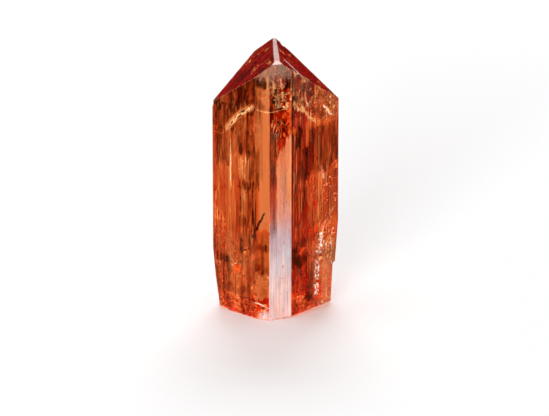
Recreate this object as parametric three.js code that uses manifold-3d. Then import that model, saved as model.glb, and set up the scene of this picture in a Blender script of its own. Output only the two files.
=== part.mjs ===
// A single natural topaz crystal, standing upright on its broken base.
// Millimetres, +Z up along the crystal's c axis, -Y towards the front edge.
// The prism is a lozenge of m {110} and l {120} growth faces, striated along its length. Two roof
// faces meet in a worn ridge that runs from front to back, and the foot is a rough cleavage that
// leaves one flat patch to stand on.
import * as THREE from 'three';
import { mergeVertices } from 'three/addons/utils/BufferGeometryUtils.js';
import Module from 'manifold-3d';

const wasm = await Module();
wasm.setup();

// Overall size
const HEIGHT = 50; // foot to the worn flat along the ridge
const HALF_WIDTH = 11.95; // axis to the narrow side faces

// Prism faces: the angle of the outward normal from the front, and the distance from the axis.
// The angles are those of topaz, whose a and b axes are in the ratio 0.5285 to 1.
const M_ANGLE = 27.9;
const R_ANGLE = 38.4;
const L_ANGLE = 46.6;
const G_ANGLE = 57.8;
const PRISM_FACES = [
  { name: 'front_right_m', angle: M_ANGLE, distance: 9.6, strips: 5 },
  { name: 'front_right_l', angle: L_ANGLE, distance: 8.54, strips: 15 },
  { name: 'right_side', angle: 90, distance: HALF_WIDTH, strips: 1 },
  { name: 'back_right_r', angle: 180 - R_ANGLE, distance: 7.8, strips: 14 },
  { name: 'back_right_m', angle: 180 - M_ANGLE, distance: 8.19, strips: 9 },
  { name: 'back_left_g', angle: 180 + G_ANGLE, distance: 9.5, strips: 17 },
  { name: 'left_side', angle: 270, distance: HALF_WIDTH, strips: 1 },
  { name: 'front_left_l', angle: -L_ANGLE, distance: 9.59, strips: 15 },
  { name: 'front_left_m', angle: -M_ANGLE, distance: 10.59, strips: 3 },
];

// Striations: long grooves made by one face stepping back towards the next.
const STRIATION_DEPTH = [0.03, 0.13];
const STRIATION_JITTER = 0.7;
const STRIATION_RISER = 0.16;

// Roof over the prism
const ROOF_SLOPE_LEFT = 40.2;
const ROOF_SLOPE_RIGHT = 39.6;
const RIDGE_TURN = 1.4; // the ridge leans this far to the left as it runs back
const RIDGE_FLAT = 0.8; // width of the worn flat along the ridge
const RIDGE_FALL = 0.5; // the flat dips this many degrees towards the front
const TIP_FACET = { slope: 52, back: 0.55 };

// Foot: flanks that lean in, a notch on the right, and broken corners
const LEFT_FLANK = [
  { height: 11.6, lean: 5.2 },
  { height: 6.2, lean: 7.6 },
];
const RIGHT_FLANK = [{ height: 16.5, lean: 4.0 }];
const RIGHT_NOTCH = { height: 8.2, inset: 1.0, lean: 2.9, ledge: 40 };
const FOOT_CHIPS = [
  { angle: 82, rise: 5.6, start: 2.5 },
  { angle: -78, rise: 13, start: 9.0 },
  { angle: 196, rise: 9, start: 6.4 },
];

// Shell-shaped breaks: the centre and the half sizes of each scoop
const SCOOPS = [
  { at: [-3.9, -12.5, 1.5], size: [2.4, 1.9, 1.7] },
  { at: [3.4, -10.7, -0.6], size: [1.5, 1.2, 1.2] },
  { at: [12.4, -1.4, 7.4], size: [1.0, 1.5, 1.3] },
  { at: [9.2, 3.2, -0.5], size: [2.4, 2.0, 1.4] },
  { at: [-12.5, -1.5, 40.2], size: [0.85, 1.1, 1.3] },
  { at: [-5.0, 11.7, 46.4], size: [0.9, 0.7, 0.6] },
  { at: [-8.3, 6.0, 43.6], size: [0.6, 0.8, 0.6] },
  { at: [3.0, -10.1, 48.4], size: [1.1, 0.7, 0.5] },
  { at: [4.4, -8.6, 47.2], size: [1.2, 0.6, 0.5] },
  { at: [1.6, 8.2, 49.2], size: [0.8, 0.7, 0.5] },
];
const SCOOP_SIDES = [14, 9];

// Growth plates: thin raised blades on the prism faces. along runs across the face from its
// middle, from and to are heights, and the upper end is cut to a slant of the given drop.
const PLATE_THICKNESS = 0.14;
const PLATES = [
  { face: 'front_left_l', along: [2.2, 4.6], from: 12.5, to: 30.5, drop: 1.1 },
  { face: 'front_left_l', along: [-4.4, -2.9], from: -1, to: 19.0, drop: -2.0 },
  { face: 'front_left_l', along: [-1.6, 0.4], from: -1, to: 14.5, drop: 1.6 },
  { face: 'front_right_l', along: [-5.2, -3.4], from: 14.0, to: 33.0, drop: 1.5 },
  { face: 'front_right_l', along: [1.4, 4.0], from: -1, to: 17.5, drop: -2.4 },
  { face: 'back_left_g', along: [-3.6, -0.8], from: 6.0, to: 27.0, drop: 1.4 },
  { face: 'back_left_g', along: [1.2, 3.2], from: -1, to: 20.5, drop: -1.6 },
  { face: 'back_right_r', along: [-3.8, -1.4], from: -1, to: 23.0, drop: 1.8 },
  { face: 'back_right_r', along: [1.0, 3.8], from: 11.0, to: 34.0, drop: -1.2 },
];

const UP = new THREE.Vector3(0, 0, 1);
const REACH = 120; // larger than the crystal, for the bodies that cut it

const radians = THREE.MathUtils.degToRad;

// A repeatable number from 0 to 1 for the whole number k.
function scatter(k) {
  const s = Math.sin(k * 12.9898 + 4.1414) * 43758.5453;
  return s - Math.floor(s);
}

// The horizontal outward normal of a face that is turned by angle degrees from the front.
function normalAt(angle) {
  return new THREE.Vector2(Math.sin(radians(angle)), -Math.cos(radians(angle)));
}

function solidOf(geometry) {
  const bare = geometry.index ? geometry.toNonIndexed() : geometry.clone();
  bare.deleteAttribute('normal');
  bare.deleteAttribute('uv');
  const merged = mergeVertices(bare, 1e-4);
  return new wasm.Manifold(
    new wasm.Mesh({
      numProp: 3,
      vertProperties: merged.attributes.position.array,
      triVerts: new Uint32Array(merged.index.array),
    }),
  );
}

function geometryOf(solid) {
  const mesh = solid.getMesh();
  const geometry = new THREE.BufferGeometry();
  geometry.setAttribute('position', new THREE.BufferAttribute(mesh.vertProperties, mesh.numProp));
  geometry.setIndex(new THREE.BufferAttribute(mesh.triVerts, 1));
  return geometry;
}

// Takes off everything beyond the plane through point whose outward normal is given.
function cutFace(body, point, normal) {
  const block = new THREE.BoxGeometry(REACH, REACH, REACH);
  block.translate(0, 0, REACH / 2);
  block.applyQuaternion(new THREE.Quaternion().setFromUnitVectors(UP, normal.clone().normalize()));
  block.translate(point.x, point.y, point.z);
  return body.subtract(solidOf(block));
}

// The corner where two neighbouring prism faces meet.
function cornerOf(face, next) {
  const a = normalAt(face.angle);
  const b = normalAt(next.angle);
  const det = a.x * b.y - a.y * b.x;
  return new THREE.Vector2(
    (face.distance * b.y - next.distance * a.y) / det,
    (next.distance * a.x - face.distance * b.x) / det,
  );
}

// Each face's two corners, going round from the front to the right.
function sidesOf(faces) {
  return faces.map((face, i) => {
    const before = faces[(i + faces.length - 1) % faces.length];
    const after = faces[(i + 1) % faces.length];
    return { ...face, start: cornerOf(before, face), end: cornerOf(face, after) };
  });
}

// One face's edge in the plan: a saw of shallow strips that each fall back behind the flat face
// and return over a short riser. The first and last strips end on the face's own corners.
function striatedEdge(side, seed) {
  const inward = normalAt(side.angle).negate();
  const points = [side.start.clone()];
  const at = (t, depth) =>
    side.start.clone().lerp(side.end, t).addScaledVector(inward, depth);
  for (let k = 1; k < side.strips; k += 1) {
    const middle = (k + STRIATION_JITTER * (scatter(seed + k) - 0.5)) / side.strips;
    const riser = STRIATION_RISER / side.strips;
    const depth = THREE.MathUtils.lerp(...STRIATION_DEPTH, scatter(seed + 50 + k));
    const fallsFirst = scatter(seed + 90 + k) < 0.5;
    points.push(at(middle - riser, fallsFirst ? depth : 0));
    points.push(at(middle + riser, fallsFirst ? 0 : depth));
  }
  return points;
}

function prism(sides) {
  const outline = sides.flatMap((side, i) => striatedEdge(side, 200 * (i + 1)));
  const section = new THREE.Shape(outline);
  return solidOf(new THREE.ExtrudeGeometry(section, { depth: HEIGHT + 12, bevelEnabled: false }));
}

// A thin blade on a prism face, sunk a little into it so that the two join.
function growthPlate(plate, sides) {
  const side = sides.find((one) => one.name === plate.face);
  const normal = normalAt(side.angle);
  const across = side.end.clone().sub(side.start).normalize();
  const middle = side.start.clone().add(side.end).multiplyScalar(0.5);
  const [left, right] = plate.along;
  const slant = Math.abs(plate.drop);
  const blade = new THREE.Shape([
    new THREE.Vector2(left, Math.max(plate.from, 0)),
    new THREE.Vector2(right, Math.max(plate.from, 0) + (plate.from > 0 ? slant : 0)),
    new THREE.Vector2(right, plate.to - (plate.drop > 0 ? slant : 0)),
    new THREE.Vector2(left, plate.to - (plate.drop > 0 ? 0 : slant)),
  ]);
  const sunk = STRIATION_DEPTH[1] + 0.4;
  const body = new THREE.ExtrudeGeometry(blade, {
    depth: sunk + PLATE_THICKNESS,
    bevelEnabled: false,
  });
  body.translate(0, 0, -sunk);
  const turn = new THREE.Matrix4().makeBasis(
    new THREE.Vector3(across.x, across.y, 0),
    UP,
    new THREE.Vector3(normal.x, normal.y, 0),
  );
  turn.setPosition(middle.x, middle.y, 0);
  body.applyMatrix4(turn);
  return solidOf(body);
}

// The two roof faces, the worn flat along the ridge and the small facet at its front end.
function cutRoof(body, sides) {
  const turn = radians(RIDGE_TURN);
  const right = new THREE.Vector3(Math.cos(turn), Math.sin(turn), 0);
  const slopes = [radians(ROOF_SLOPE_LEFT), radians(ROOF_SLOPE_RIGHT)];
  const crest = RIDGE_FLAT / (1 / Math.tan(slopes[0]) + 1 / Math.tan(slopes[1]));
  const top = new THREE.Vector3(0, 0, HEIGHT + crest);
  slopes.forEach((slope, i) => {
    const outward = right.clone().multiplyScalar((i ? 1 : -1) * Math.sin(slope));
    body = cutFace(body, top, outward.addScaledVector(UP, Math.cos(slope)));
  });
  const fall = radians(RIDGE_FALL);
  body = cutFace(
    body,
    new THREE.Vector3(0, 0, HEIGHT),
    new THREE.Vector3(0, -Math.sin(fall), Math.cos(fall)),
  );
  const front = Math.min(...sides.map((side) => side.start.y));
  const slope = radians(TIP_FACET.slope);
  return cutFace(
    body,
    new THREE.Vector3(0, front + TIP_FACET.back, HEIGHT),
    new THREE.Vector3(0, -Math.sin(slope), Math.cos(slope)),
  );
}

// A flank that leans in from the side face below the given height.
function cutFlank(body, direction, inset, { height, lean }) {
  const angle = radians(lean);
  return cutFace(
    body,
    new THREE.Vector3(direction * (HALF_WIDTH - inset), 0, height),
    new THREE.Vector3(direction * Math.cos(angle), 0, -Math.sin(angle)),
  );
}

// The notch is a step: everything below its ledge and outside its inset is gone.
function cutNotch(body) {
  const lean = radians(RIGHT_NOTCH.lean);
  const ledge = radians(RIGHT_NOTCH.ledge);
  const corner = new THREE.Vector3(HALF_WIDTH - RIGHT_NOTCH.inset, 0, RIGHT_NOTCH.height);
  let missing = solidOf(new THREE.BoxGeometry(REACH, REACH, REACH));
  missing = cutFace(missing, corner, new THREE.Vector3(-Math.cos(lean), 0, Math.sin(lean)));
  missing = cutFace(missing, corner, new THREE.Vector3(-Math.sin(ledge), 0, Math.cos(ledge)));
  return body.subtract(missing);
}

// A broken corner of the foot, rising outwards from a line at the given distance from the axis.
function cutFootChip(body, { angle, rise, start }) {
  const out = normalAt(angle);
  const tilt = radians(rise);
  return cutFace(
    body,
    new THREE.Vector3(out.x * start, out.y * start, 0),
    new THREE.Vector3(out.x * Math.sin(tilt), out.y * Math.sin(tilt), -Math.cos(tilt)),
  );
}

function scoop({ at, size }) {
  const ball = new THREE.SphereGeometry(1, ...SCOOP_SIDES);
  ball.scale(...size);
  ball.translate(...at);
  return solidOf(ball);
}

function crystal() {
  const sides = sidesOf(PRISM_FACES);
  let body = prism(sides);
  PLATES.forEach((plate) => {
    body = body.add(growthPlate(plate, sides));
  });
  body = cutRoof(body, sides);
  LEFT_FLANK.forEach((flank, i) => {
    const inset = i ? (LEFT_FLANK[0].height - flank.height) * Math.tan(radians(LEFT_FLANK[0].lean)) : 0;
    body = cutFlank(body, -1, inset, flank);
  });
  RIGHT_FLANK.forEach((flank) => {
    body = cutFlank(body, 1, 0, flank);
  });
  body = cutNotch(body);
  FOOT_CHIPS.forEach((chip) => {
    body = cutFootChip(body, chip);
  });
  SCOOPS.forEach((one) => {
    body = body.subtract(scoop(one));
  });
  return body;
}

const geometry = geometryOf(crystal());
geometry.computeBoundingBox();
const middle = geometry.boundingBox.getCenter(new THREE.Vector3());
geometry.translate(-middle.x, -middle.y, -geometry.boundingBox.min.z);
geometry.computeVertexNormals();

const topaz = new THREE.MeshStandardMaterial({
  name: 'topaz',
  color: 0xb74a20,
  roughness: 0.06,
  metalness: 0,
  transparent: true,
  opacity: 0.7,
  flatShading: true,
});

const stone = new THREE.Mesh(geometry, topaz);
stone.name = 'crystal';

const part = new THREE.Group();
part.add(stone);

export default part;
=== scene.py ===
import math

import bmesh
import bpy
import numpy as np
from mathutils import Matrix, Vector


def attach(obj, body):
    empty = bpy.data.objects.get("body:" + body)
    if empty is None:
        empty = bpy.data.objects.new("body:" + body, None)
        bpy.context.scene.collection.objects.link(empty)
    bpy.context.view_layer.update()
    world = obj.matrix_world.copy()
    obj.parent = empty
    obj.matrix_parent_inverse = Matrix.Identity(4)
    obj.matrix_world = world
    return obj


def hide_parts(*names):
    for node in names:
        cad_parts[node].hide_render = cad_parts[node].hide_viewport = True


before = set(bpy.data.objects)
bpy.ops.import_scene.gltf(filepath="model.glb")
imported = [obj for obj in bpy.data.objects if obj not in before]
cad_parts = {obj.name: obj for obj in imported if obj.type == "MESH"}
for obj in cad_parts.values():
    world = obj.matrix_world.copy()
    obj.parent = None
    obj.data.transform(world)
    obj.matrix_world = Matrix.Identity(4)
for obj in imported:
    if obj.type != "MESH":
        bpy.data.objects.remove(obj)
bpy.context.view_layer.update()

MM = 0.001

# Prism faces, going round from the front to the right, named by side and by the letter of their crystal form
RIGHT_M, RIGHT_L, RIGHT_SIDE, BACK_R, BACK_M, BACK_G, LEFT_SIDE, LEFT_L, LEFT_M = range(9)

# Prism: the same growth form as the solid; each face's degrees from the front, distance in mm and strips
HALF_WIDTH = 11.95
M_ANGLE, R_ANGLE, L_ANGLE, G_ANGLE = 27.9, 38.4, 46.6, 57.8
PRISM_FACES = {
    RIGHT_M: (M_ANGLE, 9.6, 5),
    RIGHT_L: (L_ANGLE, 8.54, 15),
    RIGHT_SIDE: (90.0, HALF_WIDTH, 1),
    BACK_R: (180 - R_ANGLE, 7.8, 14),
    BACK_M: (180 - M_ANGLE, 8.19, 9),
    BACK_G: (180 + G_ANGLE, 9.5, 17),
    LEFT_SIDE: (270.0, HALF_WIDTH, 1),
    LEFT_L: (360 - L_ANGLE, 9.59, 15),
    LEFT_M: (360 - M_ANGLE, 10.59, 3),
}
FACE_ANGLES, FACE_DISTANCES, FACE_STRIPS = (np.array(row) for row in zip(*PRISM_FACES.values()))
STRIATION_DEPTH = (0.03, 0.13)
STRIATION_JITTER = 0.7
STRIATION_RISER = 0.16

# Long patches in which the strips are filled up to their face, and fine grooves over all of it
LEVEL_FACES = (RIGHT_M, BACK_M, LEFT_M)
LEVEL_SIZE = 13.0
LEVEL_CUT = (-0.35, 0.15)
LEVEL_SLENDER = 5
LEVEL_FACE_SHIFT = 60
GROOVES = 220
GROOVE_SPREAD = 17
GROOVE_HALF = (0.12, 0.62)
GROOVE_FROM = (-12, 48)
GROOVE_LENGTH = (6, 36)
GROOVE_DEPTH = (0.008, 0.036)
GROOVE_END = 2.5
GROOVE_SIDE = 1.6

# Growth plates: face, across from and to, height from and to, and how far their ends slant
PLATE_THICKNESS = 0.14
PLATES = [
    (LEFT_L, 2.2, 4.6, 12.5, 30.5, 1.1),
    (LEFT_L, -4.4, -2.9, -1.0, 19.0, -2.0),
    (LEFT_L, -1.6, 0.4, -1.0, 14.5, 1.6),
    (RIGHT_L, -5.2, -3.4, 14.0, 33.0, 1.5),
    (RIGHT_L, 1.4, 4.0, -1.0, 17.5, -2.4),
    (BACK_G, -3.6, -0.8, 6.0, 27.0, 1.4),
    (BACK_G, 1.2, 3.2, -1.0, 20.5, -1.6),
    (BACK_R, -3.8, -1.4, -1.0, 23.0, 1.8),
    (BACK_R, 1.0, 3.8, 11.0, 34.0, -1.2),
]

# Roof over the prism
RIDGE_HEIGHT = 50.0
ROOF_SLOPES = np.radians([40.2, 39.6])
RIDGE_TURN = math.radians(1.4)
RIDGE_FLAT = 0.8
RIDGE_FALL = math.radians(0.5)
CREST_RISE = RIDGE_FLAT / np.sum(1 / np.tan(ROOF_SLOPES))
TIP_SLOPE = math.radians(45)
TIP_BACK = 0.5

# Foot: flanks that lean in below a height, a notch on the right, broken corners, and hollows underneath
LEFT_FLANKS = ((11.6, 5.2), (6.2, 7.6))
RIGHT_FLANK = (16.5, 4.0)
NOTCH_HEIGHT, NOTCH_INSET, NOTCH_LEAN, NOTCH_LEDGE = 8.2, 1.0, 2.9, 40
FOOT_CHIPS = ((82, 5.6, 2.5), (-78, 13.0, 9.0), (196, 9.0, 6.4))
FOOT_RELIEF = 0.8
FOOT_RIM = 0.16
BROAD_HOLLOW, SMALL_HOLLOW, SMALL_HOLLOW_SHARE = 7.0, 2.6, 0.4

# Shell-shaped breaks: centre, half sizes and how frosted they are
SCOOP_AIM = (8, 40)
SCOOPS = [
    ((-2.3, -12.5, 0.7), (1.9, 1.7, 1.3), 0.7),
    ((3.4, -10.7, -0.6), (1.5, 1.2, 1.2), 0.5),
    ((12.4, -1.4, 7.4), (1.0, 1.5, 1.3), 0.3),
    ((9.2, 3.2, -0.5), (2.4, 2.0, 1.4), 0.5),
    ((-12.5, -1.5, 40.2), (0.85, 1.1, 1.3), 0.3),
    ((-5.0, 11.7, 46.4), (0.9, 0.7, 0.6), 0.5),
    ((-8.3, 6.0, 43.6), (0.6, 0.8, 0.6), 0.5),
    ((3.0, -10.1, 48.4), (1.1, 0.7, 0.5), 0.15),
    ((4.4, -8.6, 47.2), (1.2, 0.6, 0.5), 0.15),
    ((1.6, 8.2, 49.2), (0.8, 0.7, 0.5), 0.5),
]

# Satin front face, frosted and partly a painted reflection: how frosted it is low and high, and the ragged
# edge of the clear window above it
SATIN_FADE = (8.0, 20.0)
SATIN_FROST_AND_REFLECTION = (0.9, 0.6)
WINDOW_SIDE = -0.85
WINDOW_SIDE_STRAY, WINDOW_SIDE_WAVE, WINDOW_SIDE_EDGE = 0.12, 3.0, 0.1
WINDOW_TOP = 31.2
WINDOW_RISE = 1.6
WINDOW_RAGGED, WINDOW_WAVE, WINDOW_EDGE = 0.8, 0.8, 0.3
STRIP_FADE = (13.0, 22.0)
STRIP_TOP = (36.0, 37.0)
STRIP_SHARE = 0.25

# Frost where the crystal is worn or broken; on the ridge flat and the small front facet it is also a painted
# highlight
RIM_WEAR = 0.14
FOOT_WEAR = 0.5
EDGE_FROST = 0.04
RIM_FROST = 0.2
FOOT_RIM_FROST = 0.05
ROOF_FROST = 0.02
ROOF_RIM_FROST = 0.2
RIDGE_FROST_AND_HIGHLIGHT = 0.65
TIP_FROST_AND_HIGHLIGHT = 0.95
FOOT_FROST = 0.15
ROOF_CHIP = ((2.1, -4.8), (4.7, -6.9))
ROOF_CHIP_HALF = 0.7
ROOF_CHIP_FROST = 0.9
ROOF_CHIP_RAGGED, ROOF_CHIP_WAVE = 0.25, 0.8

# Depth of colour on each face, partly painted light and shade, clearer on the m faces where light comes
# through; and where the colour breaks up into shards of painted reflection and shade
ROOF_SHADE = 0.1
FACE_TONES = {
    RIGHT_M: 0.15,
    RIGHT_L: 0.85,
    RIGHT_SIDE: 0.9,
    BACK_R: 0.15,
    BACK_M: 0.1,
    BACK_G: 0.15,
    LEFT_SIDE: 0.8,
    LEFT_L: 1.15,
    LEFT_M: 0.2,
}
MOSAIC_TOP = (10.0, 18.0)
MOSAIC_UNDER_ROOF = (36.5, 39.0)
MOSAIC_LEFT_M = 0.5

# Boxes with ragged ends on the faces: face, across from and to, height from and to, and strength
VEIL_EDGE = 0.1
VEIL_END = 0.3
VEIL_STRIP = 0.35
VEIL_RAGGED = 1.4
FROST_PATCHES = [
    (RIGHT_M, -2.4, 2.4, 45.8, 51.0, 0.2),
    (RIGHT_M, -2.4, 2.4, 46.6, 51.0, 0.25),
    (RIGHT_M, -2.4, 2.4, 47.6, 51.0, 0.25),
    (LEFT_M, -1.6, 1.6, 46.4, 51.0, 0.2),
    (LEFT_M, -1.6, 1.6, 47.2, 51.0, 0.25),
    (LEFT_L, -6.2, 6.2, -1.0, 16.0, 0.04),
    (RIGHT_L, -6.8, 6.8, -1.0, 51.0, 0.05),
    (RIGHT_L, -6.8, -1.6, 42.5, 51.0, 0.06),
    (RIGHT_L, -1.6, 6.8, -1.0, 13.0, 0.1),
    (RIGHT_L, 1.8, 6.8, -1.0, 10.0, 0.18),
    (LEFT_M, 0.1, 1.7, -1.0, 1.7, 0.65),
    (LEFT_M, -0.9, 0.3, -1.0, 0.9, 0.5),
]
# Brown tint and painted shade: dark bands under the roof, dark bars and strips, and a few boxes of negative
# strength that clear it
BROWN_TINT_AND_PAINTED_SHADE = [
    (LEFT_L, -6.2, 6.2, 39.6, 47.0, 0.8),
    (LEFT_L, -6.2, 0.5, 35.6, 40.0, 0.65),
    (LEFT_L, 0.5, 5.2, 35.6, 39.4, 0.45),
    (LEFT_L, -5.2, -1.4, 29.0, 35.6, 0.55),
    (LEFT_L, -0.8, 5.9, 31.6, 36.0, 0.4),
    (LEFT_L, 1.4, 2.4, 31.2, 33.0, 0.8),
    (LEFT_L, 4.0, 6.0, 26.5, 33.4, 0.65),
    (LEFT_L, 1.4, 5.9, 24.8, 26.4, 0.65),
    (LEFT_L, 1.6, 2.0, 19.5, 25.0, 0.6),
    (LEFT_L, 2.7, 2.95, 19.5, 25.0, 0.6),
    (LEFT_L, 3.7, 4.3, 18.0, 25.4, 0.55),
    (LEFT_L, 5.0, 5.4, 18.5, 26.0, 0.55),
    (LEFT_L, 1.2, 3.4, 17.6, 19.3, 0.7),
    (LEFT_L, 1.5, 2.8, 12.2, 15.2, 0.85),
    (LEFT_L, 4.2, 6.2, 12.4, 15.0, 0.55),
    (LEFT_L, -5.0, -1.2, 9.4, 11.0, 0.7),
    (LEFT_L, 1.7, 4.2, 0.5, 6.0, 0.35),
    (LEFT_L, -5.8, -1.2, 18.0, 28.0, -0.4),
    (LEFT_M, -1.6, 0.9, 44.9, 46.6, 1.2),
    (LEFT_M, -1.6, 1.6, 46.4, 50.0, 0.55),
    (LEFT_M, -0.66, -0.45, 38.5, 45.0, 0.9),
    (LEFT_M, -1.6, -1.25, 36.0, 45.0, 0.6),
    (LEFT_M, -1.6, -0.7, 25.5, 32.5, 0.7),
    (LEFT_M, -1.6, 1.6, 13.5, 14.6, 0.6),
    (LEFT_M, -1.6, 1.6, 9.0, 10.6, 0.4),
    (LEFT_M, -1.6, 1.6, 8.6, 17.4, 0.15),
    (RIGHT_M, 0.8, 2.2, 44.4, 46.4, 1.2),
    (RIGHT_M, -2.4, 2.4, 46.4, 50.0, 0.6),
    (RIGHT_M, -2.4, -0.85, 26.0, 36.5, 0.4),
    (RIGHT_M, -2.4, -0.9, 21.5, 36.5, 0.2),
    (RIGHT_M, -2.4, -1.0, 16.5, 36.5, 0.2),
    (RIGHT_M, -2.4, 0.2, 38.5, 46.0, 0.45),
    (RIGHT_M, 0.85, 1.25, 24.8, 29.5, 0.35),
    (RIGHT_L, -6.6, -6.1, 19.0, 46.0, 0.8),
    (RIGHT_L, -5.4, -3.4, 32.5, 36.6, 1.1),
    (RIGHT_L, -5.3, -2.0, 26.5, 32.5, 0.6),
    (RIGHT_L, -2.7, -1.9, 27.0, 32.2, 0.5),
    (RIGHT_L, -5.4, -4.9, 17.5, 26.0, 0.7),
    (RIGHT_L, -3.6, -2.2, 18.5, 24.5, 0.6),
    (RIGHT_L, -1.8, 4.6, 27.2, 36.0, 0.65),
    (RIGHT_L, 4.6, 6.6, 28.8, 36.0, 0.75),
    (RIGHT_L, 3.2, 6.6, 17.0, 27.0, 0.3),
    (RIGHT_L, -0.3, 1.9, 19.0, 19.8, 0.5),
    (RIGHT_L, -6.7, -2.3, 38.5, 47.0, 0.4),
    (RIGHT_L, -2.3, 6.7, 38.5, 47.0, 0.2),
    (RIGHT_L, -2.0, 3.6, 37.2, 40.0, 0.35),
    (RIGHT_L, -1.8, 3.0, 15.4, 26.6, -0.7),
    (RIGHT_L, -6.6, -4.8, 12.2, 13.6, 1.0),
    (RIGHT_L, -6.6, -2.0, 9.6, 11.8, 0.85),
    (RIGHT_L, -6.6, -2.2, 13.6, 14.8, 0.45),
    (RIGHT_L, -2.5, -2.2, 1.0, 9.4, 0.6),
    (RIGHT_L, -2.2, -0.2, 2.0, 9.4, 0.35),
    (RIGHT_L, -3.4, -0.8, 2.4, 3.7, 0.7),
    (BACK_R, -5.0, -2.0, 20.0, 33.0, 0.4),
    (BACK_R, 1.5, 5.0, 6.0, 17.0, 0.4),
    (BACK_M, -2.5, 0.5, 24.0, 40.0, 0.3),
    (BACK_G, -6.0, -2.5, 10.0, 24.0, 0.4),
    (BACK_G, 1.0, 4.5, 22.0, 36.0, 0.4),
]
# Deeper and clearer colour in boxes, partly painted light and shade: clear windows where light comes through,
# deeper patches beside them
DEPTH_BOXES_AND_PAINTED_LIGHT = [
    (LEFT_L, -5.8, -0.9, 20.0, 29.0, 0.15),
    (LEFT_L, -0.5, 1.6, 27.0, 36.0, -0.45),
    (LEFT_L, 1.5, 3.9, 26.4, 31.2, -0.5),
    (LEFT_L, 1.9, 3.7, 19.5, 25.0, -0.35),
    (LEFT_L, -0.9, 1.7, 1.0, 10.5, -0.5),
    (LEFT_L, 4.2, 6.2, 1.0, 9.0, -0.3),
    (LEFT_L, -5.8, -1.0, 11.5, 17.0, 0.2),
    (LEFT_M, -0.6, 1.6, 18.4, 44.7, -0.15),
    (LEFT_M, -1.6, -0.7, 18.0, 33.0, 0.6),
    (LEFT_M, -1.6, 1.6, 9.0, 17.6, 0.7),
    (LEFT_M, -1.6, 1.6, -1.0, 9.0, -0.15),
    (RIGHT_M, -0.8, 2.4, 16.0, 35.8, -0.15),
    (RIGHT_M, -0.8, 2.4, 35.6, 40.2, 0.45),
    (RIGHT_M, -2.4, -0.8, 23.0, 30.0, 0.4),
    (RIGHT_M, 1.1, 2.4, 23.0, 36.5, 0.5),
    (RIGHT_L, -6.6, -2.0, 17.0, 37.0, -0.3),
    (RIGHT_L, -5.9, -5.45, 25.6, 35.4, -0.7),
    (RIGHT_L, -6.6, -2.3, 38.5, 50.0, -0.45),
    (RIGHT_L, -2.3, 6.6, 38.5, 47.0, -0.6),
    (RIGHT_L, -1.8, 4.6, 27.2, 36.0, 0.2),
    (RIGHT_L, 1.8, 5.5, 1.0, 14.0, -0.5),
    (RIGHT_L, -6.4, -2.5, 1.0, 9.4, -0.3),
    (BACK_R, -2.0, 2.5, 8.0, 34.0, 0.25),
    (BACK_G, -2.0, 3.0, 4.0, 22.0, 0.25),
]


def stops_on(face, *places):
    """Stops of a route on one face, from how far across it and how high each one is."""
    return [(face, across, height) for across, height in places]


# Routes of the healed cracks, growth tubes and glints
LEFT_VEIN = stops_on(LEFT_L, (-1.9, 35.9), (-0.2, 37.6), (1.7, 39.3), (3.7, 40.4), (5.0, 41.0))
LEFT_TAIL = stops_on(LEFT_L, (-5.5, 34.5), (-3.6, 34.3), (-1.9, 35.9))
THREAD = [
    *stops_on(LEFT_L, (4.6, 40.9)),
    *stops_on(LEFT_M, (-0.55, 40.5), (1.14, 40.4)),
    *stops_on(RIGHT_M, (-0.55, 40.5), (0.92, 40.8), (2.2, 41.4)),
]
RIGHT_VEIN = stops_on(RIGHT_L, (-5.6, 41.3), (-2.8, 39.6), (-0.9, 37.9), (0.8, 36.8))
HOOK = stops_on(RIGHT_L, (1.2, 37.0), (2.75, 37.5), (4.2, 37.9))
HOOK_TIP = stops_on(RIGHT_L, (2.7, 39.7), (3.6, 38.9), (4.4, 37.9))
BACK_VEINS = [
    stops_on(BACK_R, (-5.0, 38.0), (-1.0, 35.6), (2.5, 37.8), (5.6, 35.0)),
    stops_on(BACK_G, (-6.6, 34.0), (-2.0, 37.0), (1.5, 35.0), (6.6, 36.4)),
]
CRUMBLED_VEIN = stops_on(RIGHT_L, (2.0, 14.6), (0.95, 9.7), (0.7, 6.8), (0.7, 2.8))
UPPER_CHAIN = stops_on(RIGHT_L, (1.65, 28.3), (2.9, 25.6))
GLINT_LINES = [
    stops_on(RIGHT_L, (1.5, 11.6), (2.6, 16.2)),
    stops_on(RIGHT_L, (4.85, 13.0), (4.9, 10.0)),
    stops_on(RIGHT_L, (4.1, 23.9), (4.9, 23.2)),
    stops_on(RIGHT_L, (4.3, 18.1), (5.5, 19.2)),
    stops_on(RIGHT_L, (2.4, 15.2), (2.9, 16.6)),
    stops_on(LEFT_L, (4.3, 3.0)) + stops_on(LEFT_M, (-0.6, 2.9), (1.4, 2.2)),
]
NEEDLE = stops_on(LEFT_M, (0.48, 21.2), (-1.0, 18.45)) + stops_on(LEFT_L, (4.4, 15.1))
LONG_TUBE = stops_on(LEFT_L, (-1.02, 33.8), (-1.08, 24.2))

# Short tubes on the left: across, height from and to, and width
TUBE_LEAN = 0.05
SHORT_TUBES = [
    (1.2, 26.5, 32.0, 0.2),
    (1.7, 27.0, 31.6, 0.24),
    (2.3, 26.2, 31.0, 0.16),
    (2.9, 27.5, 31.8, 0.22),
    (3.9, 27.0, 31.2, 0.2),
    (-5.6, 15.5, 20.5, 0.3),
    (-4.9, 17.0, 20.0, 0.35),
    (-3.4, 15.0, 19.4, 0.3),
]

# How far the surface is kept clear on both sides of the bright routes
CLEARED = [(LEFT_VEIN, 0.9), (RIGHT_VEIN, 0.95), (HOOK_TIP, 0.7), (CRUMBLED_VEIN, 1.1), (LONG_TUBE, 0.35)]
CLEARED_CORE = 0.4

# Clusters of flecks under the roof: where they lie, how many each has, and how they spread
ROOF_CLUSTERS = [
    (-3.5, 6.9), (-4.9, 6.7), (-1.2, -7.8), (-1.4, 4.2), (-3.5, -1.9), (-4.0, -4.1), (1.0, 0.9), (8.0, 0.8),
    (2.4, 3.5),
]
CLUSTER_FLECKS = 7
CLUSTER_SPREAD = (0.9, 1.6)
CLUSTER_DEPTH = (0.25, 0.65)

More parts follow.
